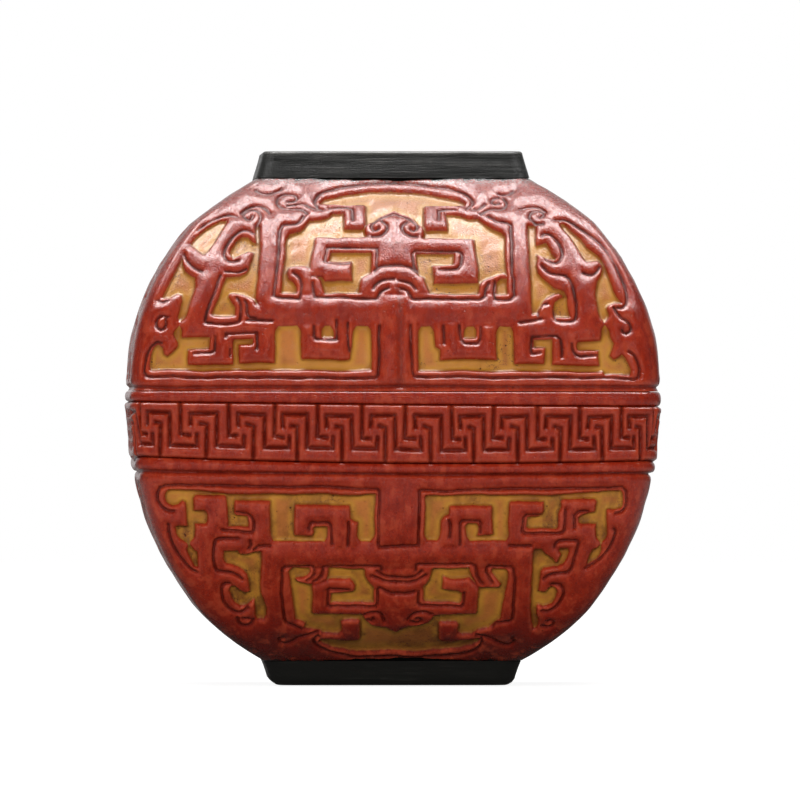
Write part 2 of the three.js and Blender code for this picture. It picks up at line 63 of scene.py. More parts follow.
# Front-view outlines of the relief, one set for each half of a panel. A point is its distance from the
# centre line and its height, in millimetres as drawn, and an r rounds that corner. A slash starts the next
# outline. A window shows the ochre ground, and a motif stands in it.
UPPER_LEFT = {
    "middle_window": """0,90.5 6,90.15 9,89.8 11.4,89.2 13.1,88.6,r 13.4,87.9 5.1,87.8 5.15,84.3 5.6,83.5
    9,83.5 9.1,86.3 11,86.3 11.8,85.5 13.2,85.1 15.2,85 17,83.1 18.8,82.6 19.5,81.6 19.7,78.7 20.3,75
    20.5,71.9 0,71.9""",
    "middle_motif": """0,87 1.6,86.2 2.8,85.7 3.8,84.9 5.4,84.2,r 5.3,82.4,r 4.6,82.1 14.4,82.1 14.6,80
    15.1,77.4 15.2,75 13,74.9 12.4,74.1 7.9,74.1 7.9,77.6 11.8,77.7 11.4,79.3 4.2,79.2 4.3,75.6 5.6,74.9
    6.7,74.1,r 6.6,72.2 6.2,71.5 0,71.5""",
    "windows": """4.2,58.2 43.8,58.2 44.1,59 43.8,61 43.2,62.4 42.4,62.8 41.6,62.2 41.3,61 40.7,60.6 39.6,61.4
    38.9,62.4 38.9,63.2 39.5,64.6 39.2,66 39,67.4 38.4,69 38,70.6 38.2,71.6 39,71.9 40.4,71.1 41.9,71
    41.7,71.6 41,73 40,75 38.2,78.6 36.9,80.7 36,81.9 34,83.6 31.5,84.9 29,85.2 24.2,84 24.2,79 24.6,75
    24.9,71 24.6,70.2 24.5,66.8 4.2,66.8""",
    "motifs": """14.7,71.5 14.8,74.8 15.1,76.2 16.2,77,r 19.2,76.7,r 19.5,75.4 19.2,74.4 18.2,73.9,r 17.8,73
    17.9,71.5
    / 12.2,71.4 12.7,72.8 13.2,74.4 14.1,75,r 15,74.9 15,71.4
    / 7.4,67.4 7.6,64 8.1,60.4 8.3,60.1 16.6,60.1 16.8,60.4 16.8,66.2 13.4,66.3 13.3,64 11.2,64 11.2,67.4
    / 24.9,84.6 25,83 24.8,81 25.5,81.2 26.4,82 27.6,82 28.6,81.2 29.3,80 29.6,79 29,78.2 28.2,78.6 27.4,79.1
    26.2,79.6 25.2,79.3 25.4,78.8 26,76.6 26.6,75.6 27.8,75 30.3,74.8 32.2,70 32.9,68.2 32.6,67.9 28.6,67.8
    28.6,69.4 29.2,70.2 29.9,71.3 29.6,72,r 28.4,71.9 27,71.5 25.2,70.6 24.8,69.8 24,69.4 21.6,67.6 21.6,59.4
    28,59.4 28,62.8 25.6,62.8 25.6,63.7 28.9,63.7 29,59.2 37.1,59.2 37.1,61.9 33.3,62.1 33.3,64 38,64
    38.2,64.4 38,65.5 36.6,70.5 35.9,73 35.8,74.6 36.6,75 37.6,75.8 38.2,77.2 38.3,79 38.6,80.5 36.7,80.8,r
    35.2,79.4 34.3,78.7 33.4,79.4 32.4,81 31.3,83 30.3,84.6 30,86 24.9,86""",
    "square_lines": """16.4,85.5 16.9,84.8 17.9,84.15 20.1,84.1 20.6,83 20.8,80.5 21.1,77.8 21.5,74.4
    21.8,71.2 21,71 17.2,70.8 16.9,71.9 16.7,73.4 17,74.4 17.6,75.1 18.2,75.4
    / 3.2,76.6 3.05,79.8 12.1,80.1 12.5,77.6 11.9,77.3 8.2,77.2
    / 3.4,70.9 12,71.1 14.3,71.25 14.65,72.4 14.6,73.9
    / 7.4,85 7.5,86.9 8.2,87.2 11.6,87.05
    / 10.6,67 10.7,63.6 14.2,63.6 14.6,64.2 14.6,66
    / 8.5,66.5 8.5,62.8 8.2,61.6
    / 24.8,61.8 24.8,64.8 30.3,64.8 30.3,64.2
    / 29.4,62 29.5,60.6
    / 32.2,64.2 32.3,61.6 32.9,61.4 36,61.3
    / 41.8,63 42.6,63.2 43.6,62.6 44.4,61.2 44.8,59.6 45.1,58 44.6,57.2 43.6,57 3.6,56.8 3.1,57.4 2.9,60
    2.9,66.2
    / 22,67.1 26.4,67""",
    "curved_lines": """0,91.7 4,91.6 8,91.3 11,90.8 13.2,89.9 14.3,88.8 14.4,87.8 13.8,87.1
    / 12.9,86.6 14.6,86.9 15.6,87.4 16.4,87.9 17.6,87.8 19.2,87.7
    / 15.8,86 16.4,86.6 17.4,87.05 19.6,87.1 20.8,87.6 21.1,88.5 20.5,89.5 19.2,89.9 18,89.6 17.5,88.9 18,88.4
    19,88.4
    / 20.2,90.8 21,90.1 22.4,89.7 24,89.85 24.9,90.4
    / 0,74.55 1.4,74.4 2.6,74 3.6,73.2 3.9,72.5
    / 0,77 1.6,76.9 2.8,76.5 3.6,75.8
    / 1.2,72.8 2.2,72.4 2.8,71.8 3.2,71.1 3.5,70.9
    / 0.2,86.2 1.4,85.7 2.6,85.2 3.7,84.7 4.3,84 4,83.3 3.3,83 2.9,83.5
    / 2.3,84.7 1.5,84.2 1.3,83.4 1.8,82.6 2.8,82.05 4,81.95
    / 22.3,86.3 23.3,87.4 25,87.7 26.8,87 27.7,86.1
    / 24.8,84 24,85 24,86.1 24.9,86.9 26.3,86.8 27.3,86.2 27.3,85.5 26.5,85 25.7,85.2 25.5,85.8
    / 25.4,82.6 26.2,83.1 27.3,83.1 28.4,82.6 29.4,81.6 30.2,80.4 30.7,79.2 30.6,78.2 30,77.6 29,77.6 28,77.9
    / 26.6,76.3 27.6,75.7 29,75.6 30.4,75.7
    / 31.3,75 32.3,72.5 33.2,70.2 33.9,68 34.2,66.8 33.8,66.4 28,66.5 27.6,67.3 27.5,69 27.7,70.2 28.3,71
    / 24.9,67.3 26.2,67.6 26.5,68.4 26.6,70 26.9,70.4
    / 34.6,75.7 35.8,76.1 36.8,77 37.6,78 37.9,78.8
    / 28.4,85.4 29.6,85.8 31,85.6 33,84.8 35,83.6 37,81.8 39,79.4 40.4,77 41.6,74.6 42.3,72.8 42.8,71.2
    42.4,70.4 41.6,70.2 40.6,70.6
    / 40.6,67.6 41.6,67.9 42.6,67.4 42.9,66.5 42.6,65.6 41.8,65.3 41.1,65.7 40.9,66.4 41,67.2""",
}
UPPER_RIGHT = {
    "middle_window": """0,90.4 4,90.2 7,89.8 10,89.2 12.2,88.6 13,88.1,r 12.6,87.7 5.3,87.7 5.3,84.2 5.8,83.2
    9.6,83.2 9.3,86.1 12,85.9 13.4,85.3 15,85.3 16.3,84.3 17.8,83.4 19.2,82.9 19.8,82.2 19.8,78 20.1,71.7
    0,71.9""",
    "middle_motif": """0,87 1.5,86.4 2.6,86 3.6,85.4 4.3,84.5 5.3,83.8,r 5.5,82.5,r 5,81.8 14.3,81.8 14.7,78
    14.9,75.9 14.8,73.7 6.8,73.7 6.7,76.9 10.6,77.1 10.6,79 3.7,79 4,75.2 5,74.8 5.6,73.2 6,72.1 6,71.5
    0,71.5""",
    "windows": """4.1,58.1 37,58 37.3,57.4 41.8,57.4 42,58.3 41.6,59.4 41,60.4 40.4,61 39.8,60.4 39,60
    38.3,60.7 38.7,61.9 38.9,63 38.2,64.1 38.1,68 37.6,69.25 38,69.9 39.2,70.2 40.5,70.1 39.6,71.4 39,72.6
    38.3,74.8 38,75.9 37.1,78 36.2,78.9 34.6,80.1 33.5,81.6 32.1,83 30.6,84.4 28.5,84.8 24.1,84 24.1,79
    24.3,75 24.3,69 24.5,66.6 4.1,66.6""",
    "motifs": """14.8,71.5 15,73.4 15.8,74.1 16.9,74.6 18.6,75.3 19.8,75.5,r 19.9,74.6 18.9,74.6 18.2,73.8
    18.1,71.5
    / 6.9,67 7,64.5 7.2,62.6 8,62 8,60.1 18.1,60 18.1,65.9 14.4,66.1 14.3,63.9 12.1,63.9 12.1,67
    / 25.4,86 25.4,83 25.3,81.6 25.4,80.6 26,80.7 27.2,81.1 27.8,80 28.2,79 28.9,78.2 28.4,77.9 27.4,78.2
    25.4,79 25.6,78.2 25.4,77 25.6,75.7 26.5,74.6 27.6,73.6 28.5,72.9 30.2,72.3 30.8,71.2 31,68.7 31.5,67.5
    28.4,67.5 28.3,69 28.6,70.4 29.5,71 30.1,71.3 29.6,71.9,r 28.5,71.8 27.3,71.3 26.4,70.4 25.1,68.2 24,67.9
    21.1,67.2 21.1,59.3 26.6,59.3 26.7,62.2 24.6,62.2 24.6,63.6 27.9,63.6 28,59.1 36.3,59 36.3,61.7 32.6,61.9
    32.4,62.5 32.6,63.2 36.6,63.4 36.8,64.5 36.3,68 36,70 35.8,72 36.2,74.1 36.9,75.2 37.2,76.2 37.1,77
    36.4,77.8 34.4,77.5 33.9,78 33.3,79.25 31.5,82.3 30.1,83.7 29.6,86""",
    "square_lines": """17,85.7 18.3,84.9 20.4,84.35 21.05,84.1 21,82.5 21,75 21.3,74.4 21.3,71.4 20.6,70.7
    17.9,70.7 17.7,71.4 17.7,72.5 17.9,73.9
    / 3.9,75.6 3.2,76.8 3.1,78.9 3.6,79.4 11.5,79.4 12,78.9 11.9,76.9 11.3,76.2 8.1,76.1
    / 3.1,70.8 15.1,70.8 16,71.2 16.1,72.3 16.7,73.5
    / 8,85.1 8,86.7 8.6,86.8 11.1,86.8
    / 11.3,66.2 11.6,63.6 12.2,62.9 14.6,62.9 15.1,63.6 15.1,65.8
    / 8.7,66 8.7,63
    / 25.9,61.3 24.3,61.2 24.1,62 24.3,64.1 28.8,64.2 29.5,63.6 29.7,60.5
    / 31.6,63 31.6,61.8 32.2,61 33.2,60.8 36.6,60.8
    / 41.6,61.6 42.6,60.8 43.2,59.6 43.6,58.3 43.4,57 42.6,56.6 36,56.9 3.4,57 3,57.8 2.6,63 2.6,66
    / 22.3,66.8 24.5,67 25.9,67.3""",
    "curved_lines": """0,91.8 4,91.6 8,91.1 11,90.5 13,89.8 14.1,88.8 14.3,88 13.9,87.4 13.2,87
    / 14.2,86.8 15.2,86.9 15.8,87.4 16.3,87.9
    / 15.6,86 16.2,86.4 17,86.9 18.5,86.9 19.8,87 20.4,87.6 20.4,88.3 19.9,88.9
    / 19,89.1 18.2,89.1 17.6,88.6 17.6,88.1 18.2,87.7 19,88
    / 19,89.8 20,89.6 21,89.7 21.8,90.1
    / 0.8,74.3 2.2,74 3.1,73.4 3.7,72.5
    / 0,77 1.6,76.9 2.8,76.5 3.6,75.8
    / 1,72.9 1.8,72.7 2.4,72.1 2.7,71.3 3.1,70.8
    / 0.2,86.2 1.4,85.8 2.6,85.3 3.7,84.6 4.3,83.9 4,83.2 3.3,82.9 2.9,83.4
    / 2.3,84.7 1.5,84.2 1.3,83.4 1.8,82.6 2.8,82.05 4,81.95
    / 22.9,86.8 23.9,87.1 24.9,87.3 26.4,87.1 27.3,86.4
    / 26.7,84.4 25.6,84.25 24.75,84.9 24.3,85.5 24.8,86.4 26,86.7 26.9,86.3 26.9,85.7 26.2,85.5
    / 26.4,82.1 27.1,82.6 28.1,82.5 29,81.6 29.75,80.3 30.1,78.9 29.9,78 29.2,77.3 28.1,77.3 27.1,77.8
    / 26.4,76.9 27.1,76 28.1,75.3 29.4,75.05 30.5,75 31.2,74.4 31.7,73.5 32.1,71.9 32.4,70.1 32.6,68.7
    32.4,67.5 31.9,66.8 29,66.75 28.5,67.1 28.2,68 28.3,68.9
    / 25.3,67.8 25.5,68.9 26.2,69.8 27.2,70
    / 33.7,75.4 34.9,75.1 36,75.5 36.7,76.4
    / 39,69.4 39.5,68.4 40.3,67.4 41.3,66.9 42,66.2 42.1,65.3 41.5,64.7 40.7,64.8 40.4,65.4
    / 28.9,85.1 30.3,85.1 31.7,84.7 33.3,83.5 35.1,82.3 37.1,80.7 38.3,79.25 39.4,77.6 40.1,75.9 40.9,74
    41.4,72.2 41.6,70.6 41.2,69.5 40.2,69.1 39.6,69.3""",
}
LOWER_LEFT = {
    "middle_window": """0,7.5 4,7.5 8,7.7 11,8.1 12.6,8.8 13.3,9.4,r 12.9,9.7 9,9.5 6.4,9.6 6,10 6,13 6.4,13.4
    9.2,13.3 9.7,12.8 9.7,11.2 10.2,10.7 12.8,10.8 13.4,11.3 15.2,11.7 16.1,12.1 15.9,12.7 16.8,13.2 17.8,13.5
    17.9,14.4 18.2,17 18.9,21.2 19,22.4,r 18.3,22.9 0,22.5""",
    "middle_motif": """0,11.2 0.5,11.5 1.4,11.9 2.7,12.1 4.1,12.4 5.2,13.1 5.5,13.8 5.9,14.3 10.8,14.3
    14.9,14.5 14.8,17.5 15,19.8 12.2,20.6 11.9,20.8 8,20.9 7.4,20.4 7,19.6 7.1,18.7 8,18.4 11.4,18.2 11.4,16.5
    3.7,16.5 3.7,19 4.4,19.8 5,20.6 5.4,21.4 5.6,23 0,23""",
    "windows": """3.7,27 3.7,36 30,36.1 36,36.8 40.6,36.8 41.2,36.2,r 41.2,35.2 40.8,34.4,r 40,34.1 38.9,34.3
    38,34.9 37.5,34.6 37.3,30.2 38.9,30.4 39.4,30.2 39.2,28.8 38.6,27.6 38,26.8 37.2,25.8 36.7,24.8 35.9,23.2
    35.4,23.2 35.4,25.2 35.9,28 36,29.5 22.4,29.5 22.4,27
    / 24.1,25.9 25.2,25.7 26.2,25.3 27.2,25.2 28,25.4 28.1,27.4 28.4,27.9 30.4,27.9 30.7,27.2 30.7,24.4
    30.4,23.7 28.2,23 27.2,22.4 26.4,21.6 26.2,20.5 26,18.5 27,18.4 28,18.8 28.8,19.4 29.5,19.3 29.8,18.6
    29.4,17.4 28.8,16.5 27.9,15.9 26.8,16 26,16.7 25.3,17.2 25,14.2 24.7,13.5 23.6,13.4 23.2,14 23.3,15.6
    24.1,18.4 24.1,22""",
    "motifs": """11.9,23 11.8,22.2 12,21.2 12.2,20.6 14.2,19.9 15.4,19.8 16.6,20 17.7,20.4 18.1,20.8,r
    17.6,21.1 16.6,21.2 15.8,21.6 15.4,22.2 15.5,23
    / 6.8,26 6.8,31 7.2,31.2 8,31.6 8.2,34.2 18,34.2 18.1,28.7 14.8,28.6 14.4,29.2 14.6,29.9 14.2,30.3
    12.1,30.2 12,26
    / 22.4,26 22.4,34.8 22.7,35 28.8,35 28.8,32.6 28.4,32.2 26.4,32.1 26.3,30.3 29.9,30.2 30,32 30.2,35.6
    30.6,35.9 35.7,36 36.2,35.5 36.2,33.3 34.2,33.2 33.7,32.6 33.7,31.4 34,30.9 36,30.8 36,26""",
    "square_lines": """3,27 3,36.6 3.3,37 8,37.3 20,37.45 36,37.75 41,37.7 42.2,37.3 42.7,36.2 42.6,35
    41.8,33.8 40.6,33.1 39.6,33.1
    / 11.3,27.2 11.5,30.5 12,31 14.9,31.1 15.3,30.4 15.4,29.7
    / 8.4,27 8.4,31.2
    / 28.4,32.9 26.6,32.7 25.7,32.1 25.4,31.4 25.4,29.8 25.8,29.3 30.9,29.7
    / 0,26.8 2.8,26.7
    / 22.4,26.9 24.6,26.9 25.4,26.2
    / 26.1,27.9 26,27 26.3,26.3
    / 2.4,22.4 2.5,23.1 3,23.2 10,23.2 12.4,23.1 12.9,22.9 13,22.3 13.3,21.4 13.9,20.8 14.8,20.4
    / 15.8,20.7 15,21.2 14.6,21.8 14.5,22.6 14.8,23.1 15.4,23.3 19.7,23.2 20.2,22.8 20.3,18 20.1,15 19.9,13.4
    19.5,12.9 18.6,12.7 16.9,12
    / 3,19 3,16.4 3.4,15.9 11.2,15.9 11.9,16.2 12,18.8 11.6,19 8.2,18.95""",
    "curved_lines": """28.1,28.3 31.8,28.2 32.4,27.7 32.7,26 32.6,24 32.3,22.9 31.8,22.3 30.6,22.1 28.4,21.6
    27.4,20.9
    / 29.6,19.9 30.8,19.9 31.3,19.3 31.3,18.2 31,17 30.4,16.1 29.6,15.4 28.6,14.9 27.6,14.8 26.4,15.8
    / 28.3,13.9 28.2,13.1 27.6,12.5 26.6,12.4 25.9,12.8 25.4,13.6
    / 26.2,13.7 27.4,13.8
    / 40.7,30.8 40.7,29.6 40.4,28.2 40,27.2 38.9,25.2 38,24.1 37.2,23.2 36.4,22.6 35.6,22.4
    / 0,21.3 1.8,21.4 2.8,22 3.2,22.3
    / 0,20.5 1.6,20.5 2.8,20.9 4.2,21.5
    / 0,18.2 0.6,18.2 2,18.9 2.8,19.3
    / 5.3,14.4 4.4,14.85 3.2,14.9 2.4,14.6 2,13.9 1.7,13.2
    / 4.7,13.5 4.2,13.2 3.7,13.4 3.8,13.8
    / 0,6.55 4,6.6 7,6.8 9,7 11,7.35 12.6,7.9 13.8,8.6 14.4,9.3 14.3,10 13.6,10.4
    / 13.6,11.1 15,10.9 16.4,10.6 17.4,10.2 18.3,9.7 19.4,9.2 20.6,9.4 20.8,10 20,10.3""",
}
LOWER_RIGHT = {
    "middle_window": """0,7.5 4,7.5 8,7.7 12,8.1 14.4,8.7 15.6,9.4,r 15.3,9.9 14.4,9.7 11,9.3 8.6,9.4 8,9.9
    8,12.7 8.4,13 11.4,12.9 11.8,12.4 11.8,11.1 12.4,10.7 14.2,10.7 15.4,11.5 17.2,11.8 18.4,12.9 19.2,13.6
    19.6,16 20,18.8 20.3,20.6 20.4,22.2,r 19.8,22.7 0,22.7""",
    "middle_motif": """0,11.1 0.7,11.1 1.7,11.6 2.8,12 4.2,12.1 6,12.6 6.9,13.3 7.1,13.9 8,14.2 15,14.4
    15.1,17 15.4,19 13.6,21 12.4,20.8 10,20.9 8.8,21.2 8.7,20.2 8.6,18.9 11.4,18.6 12.1,18.2 12.1,17 11.8,16.5
    5.6,16.6 5.3,17 5.2,19.2 5.8,19.8 6.4,20.6 6.8,21.4 7.1,23.2 0,23.2""",
    "windows": """5.3,27.2 5.3,35.6 5.6,35.9 27,35.9 34,36.3 38,36.7 40.2,36.7 40.7,36.2,r 40.7,34 40.2,33.5,r
    37.8,33.5 37.6,33 38,30 38.1,28.2 37.8,26.8 37.2,26 36.6,25 36.2,24.4 34.5,23.5 34.9,24.7 35.9,27.2
    36,29.5 20.3,29.5 20.3,27.2
    / 24.9,26.9 26.2,27 26.4,26.2 26.9,25.4 28.4,24.2 28.7,23.6 29.3,23.7 29.5,24.4 29.9,25.2 29.4,25.9
    29,26.8 29.4,27.4 31.2,27.5 31.4,26.8 31.2,25.5 30.8,24.4 30.2,23.5 29.2,23.1 26.8,22.8 26.2,22.2 26.1,21
    25.9,18.4 27.2,18.3 28.2,19.4 29,19.2 29.3,18.4 29.1,17.4 28.6,16.4 27.8,15.9 27,15.8 26.2,16.1 25.7,16
    25.6,14.4 25.9,13.6 26,12.8 25.8,11.9 25.3,11.7 24.9,12.8 24.6,15.4 24.8,20""",
    "motifs": """13.2,23.2 13.5,22.1 13.9,21.2 14.6,20.2 15,19.4 15.8,19.1 17,19.1 18.8,19.3 19.3,19.9,r
    18.6,20.6 17.8,21.4 17.4,22 17.5,23.2
    / 8.1,26.5 8,31.2 8.6,32 9.5,32.4 9.7,33.9 10.2,34 17.3,34 17.5,33.6 17.5,28.8 14.8,28.7 14.9,29.4 15,30.2
    14.6,30.9 13,30.9 12.7,30.4 12.8,26.5
    / 20.3,26.5 20.3,34.6 20.6,34.8 26.6,34.8 26.6,33.2 26.3,32.4 25.4,32 23.6,31.9 23.5,30.2 23.9,29.9
    28.9,29.9 29.2,30.4 29.2,32.6 29.6,33.6 29.6,35 30.2,35.2 35.6,35.2 35.9,34.8 35.8,32.9 33.6,32.3
    32.9,31.8 32.9,31 33.4,30.7 36,30.8 36,26.5""",
    "square_lines": """4.2,27 4.3,36.6 4.7,36.9 9,36.7 20,37.05 38,37.25 40.6,37.3 41.3,36.6 41.4,34.8
    41.1,33.6 40.4,33 39.4,32.9
    / 11.6,27.3 11.6,31 12,31.4 15,31.4 15.3,31 15.2,29.3
    / 9.6,31.4 9.8,30.4 9.7,28.5
    / 26,32.4 23.4,32.4 22.95,31.9 22.9,29.6 23.3,29.1 30,29.2 30.4,29.8 30.5,33.4
    / 34.6,33 32.9,32.9 32.2,32.3 32.1,30.2
    / 0,26.8 4.2,26.9
    / 20.5,26.9 24.5,26.9
    / 3.8,22.4 3.9,23.4 4.4,23.6 13.6,23.5 14.4,23.2 14.8,22.4 14.9,21.4 15.3,20.6 15.9,19.9
    / 17.6,20.2 16.9,21.2 16.4,22 16.5,22.9 17,23.2 21,23.2 21.5,22.8 21.7,21 21.5,15 21.3,13.6 20.8,13.2
    19.6,13.1 18.4,12.7 17.9,12.2
    / 4.3,18.6 4.3,16.6 4.8,16.1 12,15.9 12.4,16.4 12.6,18.4""",
    "curved_lines": """28.7,26.6 28.8,27.4 29.6,27.95 32.2,28 33,27.7 32.8,26.4 32,24 31.6,22.6 31.2,22.1
    29.6,22 28.4,21.8 27.4,21.4 26.8,20.8
    / 28.2,19.9 29.4,20 30.2,19.7 30.6,18.8 30.5,17.8 29.6,16.2 28.8,15.4 27.8,14.9 26.8,15.2
    / 28,13.3 28.8,13.3 29,12.7 28.5,12.3 27.6,12.2 26.8,12.4
    / 39.2,30 39.6,29.4 39.4,28.4 38.9,27.2 38.2,26 37.2,24.9 36.2,24.1 35,23.3 34.2,22.9
    / 0,21.2 3.4,21.2 4.4,21.9 5,22.4
    / 0,20.4 3,20.4 4.4,20.8 5.8,21.6
    / 0,18.3 2.6,18.3 3.6,18.7
    / 2.6,13.5 3.1,14.4 4.3,14.95 5.6,14.9 6.8,14.4
    / 3,13.2 3.9,12.8 4.9,13.1 4.9,13.6 4.2,13.7
    / 0,6.55 4,6.55 8,6.7 12,7 14,7.5 15.4,8.3 16.1,9.2 15.9,10
    / 15,10.7 16.4,10.4 17.6,10.1 18.8,9.5 20,9 21.4,8.8 22,9.4 21.6,10""",
}

# One key of the band: three grooves, as shares of the key pitch and of the band's height
KEY_PATHS = (
    ((0, 1.04), (0, 0.43), (0.19, 0.42)),
    ((0.2, 0.61), (0.2, 0.80), (0.77, 0.80), (0.77, 0.235), (1.34, 0.235), (1.34, 0.42)),
    ((0.54, -0.04), (0.54, 0.60), (0.41, 0.62)),
)
# Where the keys of a side start, in millimetres along it; the last ones are squeezed
KEY_STARTS = (-47.7, -39.6, -30.8, -22.3, -14.4, -6.1, 1.8, 10.4, 18.0, 26.1, 34.0, 41.5)

# How the band and its ribs hang on a pot pressed by hand, in millimetres: at these heights the surface
# lies lower by the drop, in the middle of a side also by the sag, and by the tilt towards the right
HANG_LEVELS = (37.6, 40.4, 42.25, 52.7, 55.1)
HANG_DROP = (0, 0.45, 0.20, 0.40, 0)
HANG_SAG = (0, 0.45, 0.90, 0.05, 0)
HANG_TILT = (0, 0.25, 0.40, 0.45, 0)


def length(name, description, default):
    return bpy.props.FloatProperty(name=name, description=description, default=default, unit="LENGTH")


def share(name, description, default, low):
    return bpy.props.FloatProperty(
        name=name, description=description, default=default, subtype="FACTOR", min=low, max=1.0
    )


def colour(name, description, *default):
    return bpy.props.FloatVectorProperty(name=name, description=description, default=default, subtype="COLOR")


class PotSettings(bpy.types.PropertyGroup):
    """Sizes and colours of the pot"""

    half: length("Half width", "Half the width across the red skin", 0.0489)
    lower_share: share("Lower share", "Width of the lower body as a share of the upper", 0.978, 0.9)
    foot_height: length("Foot height", "Height of the black foot", 0.0046)
    neck_seat: length("Neck seat", "Height where the neck starts", 0.0939)
    top: length("Top", "Height of the lip", 0.0990)
    relief: length("Relief", "Depth of the ochre ground under the skin", 0.0013)
    side_width: share("Side width", "Width of the design on the left and right sides", 0.93, 0.85)
    cell: length("Cell", "Spacing of the relief's points", 0.00024)
    red: colour("Red", "Red glaze", 0.315, 0.021, 0.006)
    red_dark: colour("Dark red", "Red where it pools", 0.165, 0.007, 0.003)
    # Pale red also lightens the crests of the relief, partly as thinner glaze and partly as a painted
    # highlight.
    red_pale: colour("Pale red", "Red glaze where it thins on an edge", 0.50, 0.070, 0.028)
    ochre: colour("Ochre", "Ochre ground", 0.50, 0.164, 0.033)
    # Dark ochre is random tone and pooled glaze, and in a thin line at the foot of the red walls it is
    # painted shade.
    ochre_dark: colour("Dark ochre", "Ochre ground in its corners", 0.30, 0.094, 0.014)
    ochre_gold: colour("Gold", "Ochre glaze along its edges", 0.55, 0.255, 0.028)
    grime: colour("Grime", "Brown dirt on the ochre", 0.13, 0.040, 0.009)
    haze: colour("Haze", "Pale smear under the neck", 0.30, 0.25, 0.24)
    # This dark colour is dirt in the lines, pits and cracks, and painted shade at the feet of the walls, down
    # the crease and along the band's edges.
    residue: colour("Residue", "Dirt left in the lines", 0.065, 0.009, 0.005)
    black: colour("Black", "Neck and foot", 0.008, 0.008, 0.007)
    # This grey lies in the brush streaks and in a band round the top of the lip.
    worn: colour("Worn", "Worn black of the lip", 0.09, 0.084, 0.076)


def settings():
    return bpy.context.scene.water_pot


# Outlines and distances


def drawn(text):
    """The points of an outline: distance from the centre line, height, and whether the corner is soft."""
    items = [item.split(",") for item in text.split()]
    return [(float(item[0]), float(item[1]), len(item) > 2) for item in items]


def fitted(x, z):
    """A drawn point, in millimetres, stretched to the size of this pot."""
    away = z - DRAWN_MIDDLE
    stretch = 2 * settings().half / MM / DRAWN_WIDTH - DRAWN_TAPER * (away / DRAWN_HALF) ** 2
    return np.array((x * stretch, DRAWN_MIDDLE + away * stretch))


def soft_outline(points):
    """Corner points to a closed outline, with the marked corners turned into curves."""
    out = []
    steps = 6
    count = len(points)
    for i, (x, z, soft) in enumerate(points):
        here = fitted(x, z)
        if not soft:
            out.append(here)
            continue
        start = (fitted(*points[i - 1][:2]) + here) / 2
        end = (here + fitted(*points[(i + 1) % count][:2])) / 2
        for k in range(steps + 1):
            t = k / steps
            out.append((1 - t) ** 2 * start + 2 * t * (1 - t) * here + t * t * end)
    return np.array(out)


def rounded_line(points, rounds):
    """An open path with its corners cut round."""
    path = np.array([fitted(x, z) for x, z, _ in points])
    for _ in range(rounds):
        a = path[:-1] * 0.75 + path[1:] * 0.25
        b = path[:-1] * 0.25 + path[1:] * 0.75
        middle = np.stack([a, b], 1).reshape(-1, 2)
        path = np.vstack([path[:1], middle[1:-1], path[-1:]])
    return path


def path_distance(x, z, path):
    """Distance to an open path."""
    best = np.full(x.shape, FAR)
    for a, b in zip(path[:-1], path[1:]):
        ab = b - a
        square = max(float(ab @ ab), 1e-12)
        t = np.clip(((x - a[0]) * ab[0] + (z - a[1]) * ab[1]) / square, 0, 1)
        best = np.minimum(best, np.hypot(x - a[0] - t * ab[0], z - a[1] - t * ab[1]))
    return best


def outline_distance(x, z, outline):
    """Signed distance to a closed outline, negative inside."""
    closed = np.vstack([outline, outline[:1]])
    best = path_distance(x, z, closed)
    inside = np.zeros(x.shape, bool)
    for a, b in zip(closed[:-1], closed[1:]):
        if a[1] != b[1]:
            crosses = (a[1] > z) != (b[1] > z)
            inside ^= crosses & (x < (b[0] - a[0]) * (z - a[1]) / (b[1] - a[1]) + a[0])
    return np.where(inside, -best, best)


def take_nearest(best, x, z, path, measure, reach=4.0):
    """Lower a field to the distance from one outline or path, where it is near."""
    low, high = path.min(0) - reach, path.max(0) + reach
    near = (x > low[0]) & (x < high[0]) & (z > low[1]) & (z < high[1])
    best[near] = np.minimum(best[near], measure(x[near], z[near], path))


def blurred(field, reach):
    """The field averaged over its neighbours."""
    for axis in (0, 1):
        for _ in range(reach):
            count = field.shape[axis]
            before = np.concatenate([field.take([0], axis), field.take(range(count - 1), axis)], axis)
            after = np.concatenate([field.take(range(1, count), axis), field.take([-1], axis)], axis)
            field = (before + 2 * field + after) / 4
    return field


def crests(height):
    """How far each point stands out from its near neighbours, from nought to one."""
    return np.clip((height - blurred(height, 3)) * 5.0, 0, 1)


def hollows(height, reach, depth):
    """How far each point lies below its wider surroundings, as a share of the depth."""
    return np.clip((blurred(height, reach) - height) / depth, 0, 1)


def waves(x, z, seed, size):
    """A smooth seeded wobble of about one in height."""
    count = 7
    rng = np.random.default_rng(seed)
    total = np.zeros(x.shape)
    for _ in range(count):
        angle, phase = rng.uniform(0, 2 * np.pi, 2)
        scale = 2 * np.pi / (size * rng.uniform(0.6, 1.6))
        total += np.sin((x * np.cos(angle) + z * np.sin(angle)) * scale + phase)
    return total / math.sqrt(count)


def smooth(value, low, high):
    t = np.clip((value - low) / (high - low), 0, 1)
    return t * t * (3 - 2 * t)


def bell(value, width):
    return np.exp(-((value / width) ** 2))


# The body's surface


